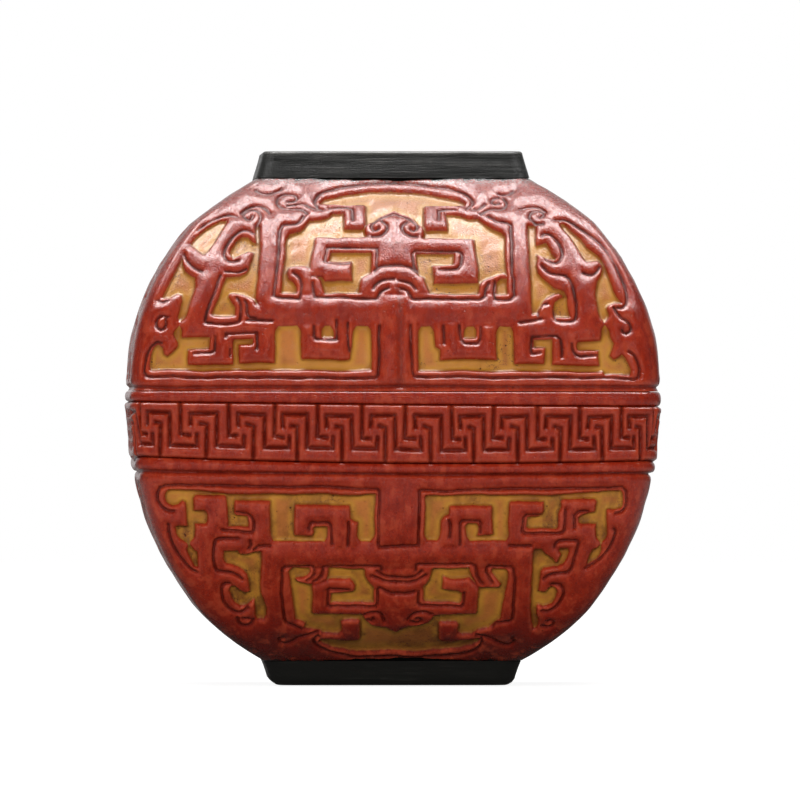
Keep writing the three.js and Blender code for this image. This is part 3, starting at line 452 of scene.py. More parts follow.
def skin_profile():
    """Half-width and height of the red skin from the foot to the neck, in millimetres."""
    s = settings()
    half, foot, seat = s.half / MM, s.foot_height / MM, s.neck_seat / MM
    low_half = half * s.lower_share
    low_centre, low_reach = 45.6, 46.9
    high_centre, high_reach = 55.6, 46.5
    shoulder, neck = 85.5, 25.3
    spread, spread_from = 0.65, 20
    points = []
    for t in np.linspace(-math.asin((low_centre - foot) / low_reach), 0, 240):
        z = low_centre + low_reach * math.sin(t)
        points.append((low_half * math.cos(t) + spread * smooth(spread_from - z, 0, 8), z))
    for t in np.linspace(0, 1, 60)[1:]:
        points.append((low_half + (half - low_half) * t, low_centre + (high_centre - low_centre) * t))
    for t in np.linspace(0, math.asin((shoulder - high_centre) / high_reach), 240)[1:]:
        points.append((half * math.cos(t), high_centre + high_reach * math.sin(t)))
    # The last stretch is one curve that leaves the arc in its direction and meets the neck
    start, lean = np.array(points[-1]), np.array(points[-1]) - np.array(points[-2])
    ahead = start + lean / np.hypot(*lean) * 2.3
    before, end = np.array((neck + 2.7, seat - 1.5)), np.array((neck, seat))
    for t in np.linspace(0, 1, 90)[1:]:
        u = 1 - t
        points.append(tuple(u**3 * start + 3 * u * u * t * ahead + 3 * u * t * t * before + t**3 * end))
    return np.array(points)


def level_rows(low, high, cell):
    """Evenly spaced points of the profile between two heights, with their outward normals."""
    profile = skin_profile()
    keep = (profile[:, 1] > low) & (profile[:, 1] < high)
    ends = [(np.interp(z, profile[:, 1], profile[:, 0]), z) for z in (low, high)]
    path = np.vstack([ends[0], profile[keep], ends[1]])
    run = np.concatenate([[0], np.cumsum(np.hypot(*np.diff(path, axis=0).T))])
    at = np.linspace(0, run[-1], int(math.ceil(run[-1] / cell)) + 1)
    half = np.interp(at, run, path[:, 0])
    z = np.interp(at, run, path[:, 1])
    dh, dz = np.gradient(half), np.gradient(z)
    size = np.hypot(dh, dz)
    return half, z, dz / size, -dh / size


def side_grid(half, z, out, up, columns):
    """Plan positions and normals of one side of the pot, from mitre to mitre, at every level."""
    round_ = half * CORNER_SHARE
    straight = half - round_
    total = straight + round_ * math.pi / 4
    along = total[:, None] * np.linspace(-1, 1, columns)[None, :]
    over = np.maximum(np.abs(along) - straight[:, None], 0)
    angle = over / round_[:, None]
    sign = np.sign(along)
    x = np.where(over > 0, sign * (straight[:, None] + round_[:, None] * np.sin(angle)), along)
    y = -straight[:, None] - round_[:, None] * np.cos(angle)
    nx, ny = sign * np.sin(angle), -np.cos(angle)
    points = np.stack([x, y, np.broadcast_to(z[:, None], x.shape)], -1)
    normals = np.stack([nx * out[:, None], ny * out[:, None], np.broadcast_to(up[:, None], x.shape)], -1)
    return points, normals, along


def sheet_mesh(name, points, normals, lift, fields):
    """A closed panel: a fine front over a plain back. Lift is measured from the skin, inwards negative."""
    rows, columns = lift.shape
    front = points + normals * lift[..., None]
    rear = points - normals * SHEET_DEPTH
    edge = np.concatenate([rear[:, 0], rear[:, -1]])
    vertices = np.concatenate([front.reshape(-1, 3), edge]) * MM
    i, j = np.meshgrid(np.arange(rows - 1), np.arange(columns - 1), indexing="ij")
    a = (i * columns + j).ravel()
    faces = np.stack([a, a + 1, a + columns + 1, a + columns], 1).tolist()
    left, right = rows * columns, rows * columns + rows
    for r in range(rows - 1):
        f = r * columns
        g = f + columns - 1
        faces.append([left + r, f, f + columns, left + r + 1])
        faces.append([g, right + r, right + r + 1, g + columns])
        faces.append([right + r, left + r, left + r + 1, right + r + 1])
    faces.append([left] + [right] + list(range(columns - 1, -1, -1)))
    top = (rows - 1) * columns
    faces.append(list(range(top, top + columns)) + [right + rows - 1, left + rows - 1])
    mesh = bpy.data.meshes.new(name)
    mesh.from_pydata(vertices.tolist(), [], faces)
    for label, field in fields.items():
        attribute = mesh.attributes.new(label, "FLOAT", "POINT")
        tail = np.concatenate([field[:, 0], field[:, -1]])
        attribute.data.foreach_set("value", np.concatenate([field.ravel(), tail]).astype(np.float32))
    mesh.update()
    return mesh


def hang(mesh):
    """Lower the band, the ribs and the panels' near edges a little, as a pot pressed by hand has them."""
    place = np.empty(len(mesh.vertices) * 3)
    mesh.vertices.foreach_get("co", place)
    x, y, z = place.reshape(-1, 3).T / MM
    across, away = np.minimum(abs(x), abs(y)), np.maximum(abs(x), abs(y))
    middle = 1 - (across / np.maximum(away, 1)) ** 2
    rightward = x / (settings().half / MM)
    drop, sag, tilt = (np.interp(z, HANG_LEVELS, hung) for hung in (HANG_DROP, HANG_SAG, HANG_TILT))
    place[2::3] = (z - drop - middle * sag - rightward * tilt) * MM
    mesh.vertices.foreach_set("co", place)
    mesh.update()


def place_sides(meshes, name, node):
    """Copies of the given meshes in turn on the four sides, a quarter turn apart."""
    for k, side in enumerate(SIDES):
        copy = meshes[k % len(meshes)].copy()
        copy.transform(Matrix.Rotation(k * math.pi / 2, 4, "Z"))
        obj = bpy.data.objects.new(f"{name}_{side}", copy)
        bpy.context.collection.objects.link(obj)
        hang(copy)
        finish_piece(obj, moulded(), "red_glaze", f"{node}_{side}")
    for mesh in meshes:
        bpy.data.meshes.remove(mesh)


def finish_piece(obj, material, slot, *nodes, angle=70):
    """Glaze a piece, smooth it where it turns less than the angle, and enter it in the frame."""
    obj.data.materials.append(material)
    bpy.ops.object.select_all(action="DESELECT")
    obj.select_set(True)
    bpy.context.view_layer.objects.active = obj
    bpy.ops.object.shade_smooth_by_angle(angle=math.radians(angle))
    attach(obj, "root")
    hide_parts(*nodes)


# The relief


def panel_fields(x, z, halves, calm, seed):
    """Distances to the nearest window edge, red positive and ochre negative, and to the nearest groove."""
    xw = x + calm * (0.09 * waves(x, z, seed, 9) + 0.04 * waves(x, z, seed + 7, 2.8))
    zw = z + calm * (0.08 * waves(x, z, seed + 1, 8) + 0.04 * waves(x, z, seed + 8, 2.6))
    windows, motifs, line = (np.full(x.shape, FAR) for _ in range(3))
    for name, field in (("middle_window", windows), ("middle_motif", motifs)):
        left, right = (soft_outline(drawn(half[name])) for half in halves)
        take_nearest(field, xw, zw, np.vstack([right, (left * (-1, 1))[::-1]]), outline_distance)
    for half, sign in zip(halves, (-1, 1)):
        xs = xw * sign
        for name, field in (("windows", windows), ("motifs", motifs)):
            for text in half[name].split("/"):
                take_nearest(field, xs, zw, soft_outline(drawn(text)), outline_distance)
        for name, rounds in (("square_lines", 0), ("curved_lines", 3)):
            for text in half[name].split("/"):
                take_nearest(line, xs, zw, rounded_line(drawn(text), rounds), path_distance)
    return np.maximum(windows, -motifs), line


def relief_panel(name, halves, width, low, high, groove_at, slope_at, crease, seed):
    """One side of the relief above or below the band, raised from distances to its drawn outlines.

    The outlines are as seen from the front, so they are looked up below the skin, where the cuts are.
    The crease is the soft valley down the middle: its place, width, depth and lower and upper ends; its depth
    also sets a painted shade along it.
    """
    s = settings()
    wall_rise, dome_rise, cut_depth, groove_depth = 0.82, 0.48, 0.46, 0.42
    cell = s.cell / MM * 1
    half, z, out, up = level_rows(low, high, cell)
    points, normals, along = side_grid(half, z, out, up, int(2 * half.max() / cell) + 1)
    sunk = normals * (s.relief / MM)
    x, zz = (points - 0.3 * sunk)[..., 0] / width, (points - 0.8 * sunk)[..., 2]
    from_corner = along.max(1)[:, None] - np.abs(along)
    calm = smooth(from_corner, 0, 6.5)
    boundary, line = panel_fields(x, zz, halves, calm, seed)
    plain = 3 * (1 - smooth(from_corner, 0, 0.9))
    boundary, line = boundary + plain, line + plain
    slope = bell(zz - slope_at, 0.9)
    red = smooth(boundary + slope, -0.05, 0.25)
    wall = np.clip((boundary + 0.08 + 1.1 * slope) / (0.48 + slope), 0, 1)
    border = np.abs(points[..., 2] - groove_at - 0.12 * waves(x, zz * 0, seed + 3, 30) * calm)
    shoulder = np.clip(np.minimum(np.minimum(boundary, line), border) / 2.3, 0, 1)
    height = wall_rise * (1 - (1 - wall) ** 2.6) + dome_rise * (1 - (1 - shoulder) ** 2) * red
    cut = bell(line, 0.23) * red
    groove = bell(border, 0.30)
    height -= (cut_depth + 0.08 * waves(x, zz, seed + 4, 7)) * cut + groove_depth * groove
    middle, spread, depth, foot, head = crease
    valley = bell(x - middle, spread * (1 + 0.9 * smooth(foot + 3 - zz, 0, 3)))
    valley *= smooth(zz, foot, foot + 1) * smooth(head - zz, 0, 1) * red
    height = blurred(height - depth * valley, 1)
    height += (0.05 * waves(x, zz, seed + 2, 8) + 0.028 * waves(x, zz, seed + 5, 2.6)) * calm
    # At the foot of each wall the recess gets a dark line that is painted shade.
    foot_of_wall = bell(boundary + 0.12, 0.16) * (1 - slope)
    recess = np.clip(np.maximum(np.maximum(cut, 0.35 * foot_of_wall), 0.85 * groove), 0, 1)
    fields = {
        "boundary": boundary + 0.8 * slope,
        "line": np.minimum(line, 3),
        # Down the crease the recess is painted shade.
        "recess": np.maximum(recess, 1.8 * depth * valley),
        "edge": crests(height),
        "pool": hollows(height, int(1.6 / cell**2), 0.55),
    }
    return sheet_mesh(name, points, normals, height - s.relief / MM, fields)


def band_panel(low, high):
    """One side of the key-fret band."""
    cell = BAND_CELL * 1
    rows = int((high - low) / cell) + 1
    z = np.linspace(low, high, rows)
    profile = skin_profile()
    lift = 0.6
    half = np.interp(z, profile[:, 1], profile[:, 0]) + lift
    points, normals, along = side_grid(half, z, np.ones(rows), np.zeros(rows), int(BAND_LENGTH / cell) + 1)
    zz = points[..., 2]
    side = float(along.max() - along.min())
    starts = KEY_STARTS + (KEY_STARTS[0] + side, KEY_STARTS[1] + side)
    calm = smooth(1 - np.abs(along) / along.max(1)[:, None], 0, 0.08)
    rng = np.random.default_rng(12)
    line = np.full(zz.shape, FAR)
    for key in range(len(KEY_STARTS)):
        for shares in KEY_PATHS:
            across = np.interp([key + u for u, _ in shares], range(len(starts)), starts)
            path = np.stack([across, [low + v * (high - low) for _, v in shares]], 1)
            path += rng.uniform(-0.14, 0.14, path.shape)
            for turn in (-side, 0, side):
                take_nearest(line, along, zz, path + (turn, 0), path_distance, 2.5)
    ends = np.minimum(zz - low, high - zz)
    cut = bell(line, 0.44)
    shoulder = np.clip(np.minimum(line, ends) / 0.95, 0, 1)
    dome, cut_depth, end_drop = 0.34, 0.42, 0.45
    height = dome * (1 - (1 - shoulder) ** 2) - cut_depth * cut - dome
    height -= end_drop * (1 - smooth(ends, 0.0, 0.5))
    height += (0.03 * waves(along, zz, 5, 6) - 0.03) * calm
    plain = np.full(zz.shape, 3.0)
    fields = {
        "boundary": plain,
        "line": plain,
        # Along the band's top and bottom edges, under the ribs, the recess is painted shade; in the grooves
        # it is dirt.
        "recess": np.clip(np.maximum(cut**1.3, 0.8 * (1 - smooth(ends, 0.0, 0.4))), 0, 1),
        "edge": crests(height),
        "pool": hollows(height, int(0.5 / cell**2), 0.5),
    }
    return sheet_mesh("band", points, normals, height, fields)


# Turned-up rings, made by extruding one level after another


def square_ring(half, round_, steps):
    points = []
    for corner in range(4):
        start = corner * math.pi / 2
        cx = (half - round_) * math.sqrt(2) * math.cos(start + math.pi / 4)
        cy = (half - round_) * math.sqrt(2) * math.sin(start + math.pi / 4)
        for i in range(steps + 1):
            angle = start + i / steps * math.pi / 2
            points.append((cx + round_ * math.cos(angle), cy + round_ * math.sin(angle)))
    return points


def split_sides(ring, count):
    """The ring again, with each long side cut into equal lengths."""
    out = []
    for (x0, y0), (x1, y1) in zip(ring, ring[1:] + ring[:1]):
        parts = count if math.hypot(x1 - x0, y1 - y0) > 10 else 1
        out += [(x0 + (x1 - x0) * k / parts, y0 + (y1 - y0) * k / parts) for k in range(parts)]
    return out


def ring_piece(name, levels, steps, closed=True, parts=1):
    """A rounded-square body through levels of (half, corner, height) in millimetres, joined or capped."""
    rings = [split_sides(square_ring(half, round_, steps), parts) for half, round_, _ in levels]
    size = len(rings[0])
    bpy.ops.object.select_all(action="DESELECT")
    bpy.ops.mesh.primitive_circle_add(vertices=size, radius=levels[0][0] * MM)
    obj = bpy.context.object
    obj.name = name
    bpy.ops.object.mode_set(mode="EDIT")
    bpy.ops.mesh.select_all(action="SELECT")
    for _ in levels[1:]:
        bpy.ops.mesh.extrude_region_move(TRANSFORM_OT_translate={"value": (0, 0, MM)})
    bpy.ops.object.mode_set(mode="OBJECT")
    for k, ring in enumerate(rings):
        for i, (x, y) in enumerate(ring):
            obj.data.vertices[k * size + i].co = (x * MM, y * MM, levels[k][2] * MM)
    bpy.ops.object.mode_set(mode="EDIT")
    bpy.ops.mesh.select_mode(type="EDGE")
    bpy.ops.mesh.select_all(action="DESELECT")
    bpy.ops.mesh.select_non_manifold()
    if closed:
        bpy.ops.mesh.bridge_edge_loops()
    else:
        bpy.ops.mesh.fill_holes(sides=0)
    bpy.ops.mesh.select_all(action="SELECT")
    bpy.ops.mesh.normals_make_consistent(inside=False)
    bpy.ops.object.mode_set(mode="OBJECT")
    return obj


def arc_levels(centre, radius_h, radius_z, corner, start, end, count):
    """Levels round an arc in elevation, angles in degrees, nought pointing outwards."""
    out = []
    for angle in np.radians(np.linspace(start, end, count)):
        shift = radius_h * math.cos(angle)
        out.append((centre[0] + shift, corner + shift * 0.5, centre[1] + radius_z * math.sin(angle)))
    return out


# Materials

COLOUR, NUMBER = "NodeSocketColor", "NodeSocketFloat"
PIT_SCALE = 620
BUMP_DEPTH = 0.00016
COAT_ROUGHNESS = 0.11


class Wires:
    """Short ways to add nodes and link them."""

    def __init__(self, tree):
        self.tree = tree

    def node(self, kind, **values):
        node = self.tree.nodes.new(kind)
        for key, value in values.items():
            setattr(node, key, value)
        return node

    def put(self, value, socket):
        """Feed a socket from another one, or with a plain value."""
        if isinstance(value, bpy.types.NodeSocket):
            self.tree.links.new(value, socket)
        else:
            socket.default_value = value

    def math(self, operation, a, b=0.0, clamp=False):
        node = self.node("ShaderNodeMath", operation=operation, use_clamp=clamp)
        self.put(a, node.inputs[0])
        self.put(b, node.inputs[1])
        return node.outputs[0]

    def times(self, a, b):
        return self.math("MULTIPLY", a, b)

    def total(self, *parts):
        """The sum of values times their weights."""
        result = 0.0
        for value, weight in parts:
            result = self.math("ADD", result, self.times(value, weight))
        return result

    def shaken(self, value, noise, amount):
        """The value shifted to and fro by a noise."""
        return self.total((value, 1.0), (self.math("SUBTRACT", noise, 0.5), amount))

    def mix(self, cover, base, colour):
        node = self.node("ShaderNodeMix", data_type="RGBA")
        for index, value in ((0, cover), (6, base), (7, colour)):
            self.put(value, node.inputs[index])
        return node.outputs[2]

    def layers(self, base, *covers):
        """The base with other colours laid over it in turn."""
        for cover, colour in covers:
            base = self.mix(cover, base, colour)
        return base

    def step(self, value, low, high, to_low=0.0, to_high=1.0):
        """A smooth step between two results as the value goes from low to high."""
        node = self.node("ShaderNodeMapRange", interpolation_type="SMOOTHSTEP")
        for index, item in enumerate((value, low, high, to_low, to_high)):
            self.put(item, node.inputs[index])
        return node.outputs[0]

    def noise(self, place, scale, detail, roughness, stretch=None):
        if stretch:
            mapping = self.node("ShaderNodeMapping")
            self.put(place, mapping.inputs["Vector"])
            self.put(stretch, mapping.inputs["Scale"])
            place = mapping.outputs[0]
        node = self.node("ShaderNodeTexNoise")
        values = {"Vector": place, "Scale": scale, "Detail": detail, "Roughness": roughness}
        for label, value in values.items():
            self.put(value, node.inputs[label])
        return node.outputs["Fac"]


def new_group(name, numbers, colours):
    """An empty node group for a glaze, with its inputs, its outputs, the place on the pot and its height."""
    group = bpy.data.node_groups.new(name, "ShaderNodeTree")
    s = settings()
    inputs = [(label, NUMBER, value) for label, value in numbers.items()]
    inputs += [(s.bl_rna.properties[key].name, COLOUR, (*getattr(s, key), 1)) for key in colours]
    for label, kind, value in inputs:
        group.interface.new_socket(name=label, in_out="INPUT", socket_type=kind).default_value = value
    for label, kind in (("Color", COLOUR), ("Roughness", NUMBER), ("Height", NUMBER), ("Coat", NUMBER)):
        group.interface.new_socket(name=label, in_out="OUTPUT", socket_type=kind)
    w = Wires(group)
    place = w.node("ShaderNodeTexCoord").outputs["Object"]
    split = w.node("ShaderNodeSeparateXYZ")
    w.put(place, split.inputs[0])
    return w, w.node("NodeGroupInput").outputs, w.node("NodeGroupOutput").inputs, place, split.outputs[2]


def glaze_group(name):
    """Red glaze on relief over an ochre ground: pooling, crests paler partly from thinner glaze and partly as
    a painted highlight, brush marks, pits, dark dirt in the lines, painted shade at the feet of the walls,
    down the crease and along the band's edges, and darker colours towards the foot.
    """
    numbers = {"Boundary": 3.0, "Line": 3.0, "Recess": 0.0, "Edge": 0.0, "Pool": 0.0}
    reds, ochres = ("red", "red_dark", "red_pale"), ("ochre", "ochre_dark", "ochre_gold")
    w, i, out, place, z = new_group(name, numbers, (*reds, *ochres, "grime", "haze", "residue", "black"))
    streak = w.noise(place, 1100, 4, 0.6, (1.0, 1.0, 0.16))
    cloud = w.noise(place, 90, 5, 0.6)
    patch = w.noise(place, 420, 4, 0.6, (1.0, 1.0, 0.6))
    fine = w.noise(place, 2100, 4, 0.65)
    grain = w.noise(place, 3600, 2, 0.5)
    red = w.layers(
        i["Red"],
        (w.step(streak, 0.47, 0.66, 0, 0.45), i["Dark red"]),
        (w.step(fine, 0.50, 0.66, 0, 0.6), i["Dark red"]),
        (w.step(grain, 0.60, 0.70, 0, 0.5), i["Pale red"]),
        # The red turns darker towards the foot.
        (w.step(z, 0.020, 0.006), i["Dark red"]),
        (w.step(z, 0.013, 0.005, 0, 0.6), i["Residue"]),
        (w.step(patch, 0.49, 0.64, 0, 0.4), i["Dark red"]),
        (w.step(patch, 0.48, 0.36, 0, 0.4), i["Pale red"]),
        # Crests of the relief turn paler, partly as thinner glaze and partly as a painted highlight.
        (w.times(i["Edge"], w.step(fine, 0.28, 0.58, 0.35)), i["Pale red"]),
        (w.step(i["Pool"], 0.05, 0.8, 0, 0.9), i["Dark red"]),
    )
    grime = w.times(w.step(cloud, 0.40, 0.62, 0.25), w.step(patch, 0.40, 0.60, 0.2))
    # The brown blotches are heavier near the red walls and towards the bottom.
    grime = w.times(grime, w.step(i["Boundary"], -2.4, -0.3, 0.35))
    grime = w.times(grime, w.step(z, 0.060, 0.026, 0.18, 0.80))
    pits = w.node("ShaderNodeTexVoronoi")
    w.put(place, pits.inputs["Vector"])
    w.put(PIT_SCALE, pits.inputs["Scale"])
    pit = w.step(pits.outputs["Distance"], 0.12, 0.07)
    crack = w.math("ABSOLUTE", w.math("SUBTRACT", w.noise(place, 500, 3, 0.7), 0.5))
    crack = w.times(w.step(crack, 0.014, 0.004), w.step(cloud, 0.52, 0.60, 0, 0.75))
    ochre = w.layers(
        i["Ochre"],
        (w.step(cloud, 0.42, 0.80), i["Dark ochre"]),
        (w.step(fine, 0.52, 0.72, 0, 0.40), i["Dark ochre"]),
        (w.step(patch, 0.52, 0.75, 0, 0.45), i["Dark ochre"]),
        (w.step(i["Boundary"], -1.7, -0.35, 0, 0.85), i["Gold"]),
        # A thin darker ochre line where the ground meets the red walls is painted shade.
        (w.step(i["Boundary"], -0.32, -0.10, 0, 0.6), i["Dark ochre"]),
        (w.step(i["Pool"], 0.25, 1.0, 0, 0.9), i["Dark ochre"]),
        (w.step(i["Pool"], 0.8, 1.0, 0, 0.25), i["Residue"]),
        (grime, i["Grime"]),
        # The ochre turns darker towards the foot.
        (w.step(z, 0.016, 0.006, 0, 0.5), i["Grime"]),
        (w.times(pit, w.step(cloud, 0.45, 0.60)), i["Residue"]),
        (crack, i["Residue"]),
    )
    is_red = w.step(w.shaken(i["Boundary"], fine, 0.18), -0.06, 0.06)
    thin = w.times(w.step(w.shaken(i["Line"], grain, 0.25), 0.24, 0.10), is_red)
    line = w.times(w.step(patch, 0.35, 0.6, 0.2, 0.8), w.step(z, 0.040, 0.065, 0.5, 1.15))
    # The recess darkens the lines as dirt, and darkens the feet of the walls, the crease and the band's edges
    # as painted shade.
    residue = w.times(i["Recess"], w.step(fine, 0.34, 0.62, 0.35, 0.85))
    residue = w.math("MAXIMUM", residue, w.times(thin, line), clamp=True)
    rag = w.noise(place, 420, 4, 0.6)
    height = w.shaken(z, rag, 0.0022)
    black = w.math("MAXIMUM", w.step(height, 0.09350, 0.09395), w.step(height, 0.00485, 0.00455))
    smear = w.step(w.shaken(z, rag, 0.0011), 0.0922, 0.0936, 0, 0.75)
    body = w.layers(
        w.mix(is_red, ochre, red),
        (residue, i["Residue"]),
        (w.times(smear, w.step(fine, 0.38, 0.60)), i["Haze"]),
        (black, i["Black"]),
    )
    bump = w.times(
        w.total((streak, 0.12), (fine, 0.45), (grain, 0.50)),
        w.step(z, 0.066, 0.082, 0.6, 1.9),
    )
    coat = w.times(w.step(grain, 0.42, 0.66, 0.03, 0.95), w.math("SUBTRACT", 1.0, residue))
    rough = w.step(patch, 0.3, 0.7, 0.30, 0.40)
    w.put(body, out["Color"])
    w.put(w.total((rough, 1.0), (residue, 0.3), (is_red, -0.10)), out["Roughness"])
    w.put(w.total((bump, 1.0), (pit, -0.6), (thin, -0.7)), out["Height"])
    w.put(w.times(coat, w.step(z, 0.064, 0.082, 0.5)), out["Coat"])
    return w.tree


def black_group(name):
    """Brushed black: level brush streaks, a greyer band round the top of the lip, and dust."""
    w, i, out, place, z = new_group(name, {"Amount": 1.0}, ("black", "worn"))
    streak = w.noise(place, 60, 5, 0.7, (1.0, 1.0, 26.0))
    cloud = w.noise(place, 160, 4, 0.6)
    fine = w.noise(place, 2400, 3, 0.6)
    streaks = w.times(w.step(streak, 0.50, 0.74), w.step(cloud, 0.40, 0.62, 0.05, 0.7))
    # A greyer band round the top of the lip.
    lip = w.times(w.step(z, 0.0980, 0.0989), w.step(cloud, 0.36, 0.60, 0.2, 0.9))
    worn = w.math("MULTIPLY", w.math("MAXIMUM", streaks, lip), i["Amount"], clamp=True)
    w.put(w.mix(worn, i["Black"], i["Worn"]), out["Color"])
    w.put(w.step(streak, 0.3, 0.7, 0.34, 0.58), out["Roughness"])
    w.put(w.total((streak, 0.7), (fine, 0.2)), out["Height"])
    w.put(w.step(cloud, 0.3, 0.7, 0, 0.12), out["Coat"])
    return w.tree


def surface(name, kind, make, fields=(), **inputs):
    """A glaze material, made once; the relief's fields feed the inputs of their name."""
    if name in bpy.data.materials:
        return bpy.data.materials[name]
    material = bpy.data.materials.new(name)
    material.use_nodes = True
    w = Wires(material.node_tree)
    shader = material.node_tree.nodes["Principled BSDF"].inputs
    glaze = w.node("ShaderNodeGroup", node_tree=bpy.data.node_groups.get(kind) or make(kind))
    for label, value in inputs.items():
        w.put(value, glaze.inputs[label])
    for label in fields:
        attribute = w.node("ShaderNodeAttribute", attribute_name=label)
        w.put(attribute.outputs["Fac"], glaze.inputs[label.capitalize()])
    bump = w.node("ShaderNodeBump")
    w.put(1.0, bump.inputs["Strength"])
    w.put(BUMP_DEPTH, bump.inputs["Distance"])
    w.put(glaze.outputs["Height"], bump.inputs["Height"])
    w.put(bump.outputs[0], shader["Normal"])
    w.put(glaze.outputs["Color"], shader["Base Color"])
    w.put(glaze.outputs["Roughness"], shader["Roughness"])
    w.put(glaze.outputs["Coat"], shader["Coat Weight"])
    w.put(COAT_ROUGHNESS, shader["Coat Roughness"])
    return material


def moulded(name="moulded_glaze", fields=("boundary", "line", "recess", "edge", "pool")):
    return surface(name, "Moulded glaze", glaze_group, fields)


def brushed(name, amount):
    return surface(name, "Brushed black", black_group, Amount=amount)


# Operators


class POT_OT_relief(bpy.types.Operator):
    """Build the eight relief panels, upper and lower, of the four sides"""

    bl_idname = "water_pot.relief"
    bl_label = "Relief panels"

    def execute(self, context):
        designs = (
            ("upper", (UPPER_LEFT, UPPER_RIGHT), (54.6, 93.9, 55.25, 66.9, (0.9, 0.62, 0.30, 54.7, 73.8), 3)),
            ("lower", (LOWER_LEFT, LOWER_RIGHT), (4.6, 40.3, 39.9, 26.5, (1.6, 0.25, 0.14, 25.8, 37.6), 23)),
        )
        for name, halves, sizes in designs:
            panels = [relief_panel(name, halves, width, *sizes) for width in (1, settings().side_width)]
            place_sides(panels, f"{name}_panel", f"relief_{name}")
        return {"FINISHED"}


class POT_OT_band(bpy.types.Operator):
    """Build the key-fret band of the four sides"""

    bl_idname = "water_pot.band"
    bl_label = "Key-fret band"

    def execute(self, context):
        place_sides([band_panel(42.3, 52.6)], "key_band", "fret_band")
        return {"FINISHED"}


class POT_OT_ribs(bpy.types.Operator):
    """Build the two ribs above and below the band"""

    bl_idname = "water_pot.ribs"
    bl_label = "Ribs"

    def execute(self, context):
        s = settings()
        upper_half = s.half / MM
        lower_half = upper_half * s.lower_share
        for name, middle, half in (("upper_rib", 53.6, upper_half), ("lower_rib", 41.3, lower_half)):
            corner = half * CORNER_SHARE
            inner, height = (half - 1.5, corner - 1.5), 0.96
            arc = arc_levels((half - 0.45, middle), 0.58, height, corner, -90, 90, 13)
            levels = [(*inner, middle - height)] + arc + [(*inner, middle + height)]
            rib = ring_piece(name, levels, 14, parts=24)
            hang(rib.data)
            finish_piece(rib, moulded("rib_glaze", ()), "red_glaze", name, angle=60)
        return {"FINISHED"}


class POT_OT_neck(bpy.types.Operator):
    """Build the black neck with its rounded lip"""

    bl_idname = "water_pot.neck"
    bl_label = "Neck"

    def execute(self, context):
        s = settings()
        seat, top, spigot = s.neck_seat / MM, s.top / MM, 90.9
        levels = [(22.4, 3.7, spigot), (22.4, 3.7, seat - 0.05)]
        levels += [(24.9, 3.2, seat - 0.05), (25.35, 3.1, seat + 0.15), (25.1, 3.0, seat + 1.1)]
        levels += [(24.75, 2.9, seat + 2.2), (24.4, 2.8, seat + 3.4)]
        levels += arc_levels((23.5, top - 0.6), 0.6, 0.6, 2.6, 0, 90, 6)
        levels += [(22.4, 2.6, top), (21.9, 2.7, top - 0.15), (21.45, 2.8, top - 0.45)]
        levels += [(21.1, 2.9, top - 0.9), (20.9, 3.0, top - 1.5), (20.8, 3.0, spigot)]
        neck = ring_piece("neck", levels, 14)
        finish_piece(neck, brushed("neck_black", 0.75), "black_glaze", "neck_collar", angle=50)
        return {"FINISHED"}


class POT_OT_foot(bpy.types.Operator):
    """Build the black foot ring and the floor plate in it"""

    bl_idname = "water_pot.foot"
    bl_label = "Foot and floor"

    def execute(self, context):
        top = settings().foot_height / MM
        levels = [(18.6, 3.0, 0.0), (20.9, 3.2, 0.0), (21.5, 3.5, 0.12), (22.2, 3.8, 0.55), (22.7, 4.1, 1.2)]
        levels += [(22.9, 4.2, 1.9), (23.4, 4.2, 3.4), (23.85, 4.2, top - 0.1), (23.6, 4.1, top)]
        levels += [(15.5, 3.0, top), (15.4, 3.0, top - 0.1), (15.4, 3.0, 3.0), (15.5, 3.0, 2.9)]
        levels += [(18.4, 3.0, 2.9), (18.6, 3.0, 2.7)]
        foot = ring_piece("foot", levels, 12)
        finish_piece(foot, brushed("foot_black", 0.25), "black_glaze", "foot_ring", angle=50)
        plate = [(17.3, 3.7, top + 0.02), (17.4, 3.8, top + 0.3), (17.4, 3.8, 8.6), (17.2, 3.6, 8.9)]
        floor = ring_piece("floor", plate, 12, closed=False)
        finish_piece(floor, brushed("floor_black", 0.5), "black_glaze", "floor_plate", angle=50)
        return {"FINISHED"}


class POT_OT_lining(bpy.types.Operator):
    """Build the clay wall behind the relief, glazed dark inside"""

    bl_idname = "water_pot.lining"
    bl_label = "Clay wall"

    def execute(self, context):
        rows = list(zip(*level_rows(6.4, 93.3, 2.2)))
        near, far = 1.75, 5.25
        outer = [(h - o * near, h * CORNER_SHARE - 1.0, v - u * near) for h, v, o, u in rows]
        inner = [(h - o * far, max(h * CORNER_SHARE - 4.5, 1.4), v - u * far) for h, v, o, u in rows]
        outer = [p for p in outer if p[2] < 90.0] + [(24.6, 2.8, 93.3), (22.9, 4.0, 93.3), (22.9, 4.0, 90.6)]
        inner = [p for p in inner if 9.4 < p[2] < 89.4] + [(21.6, 1.6, 90.6)]
        levels = [(17.7, 4.0, 5.1)] + outer + inner[::-1] + [(17.7, 4.0, 9.1)]
        wall = ring_piece("clay_wall", levels, 8)
        walls = [f"wall_{side}" for side in SIDES]
        finish_piece(wall, brushed("inner_black", 0.35), "black_glaze", *walls, angle=45)
        return {"FINISHED"}


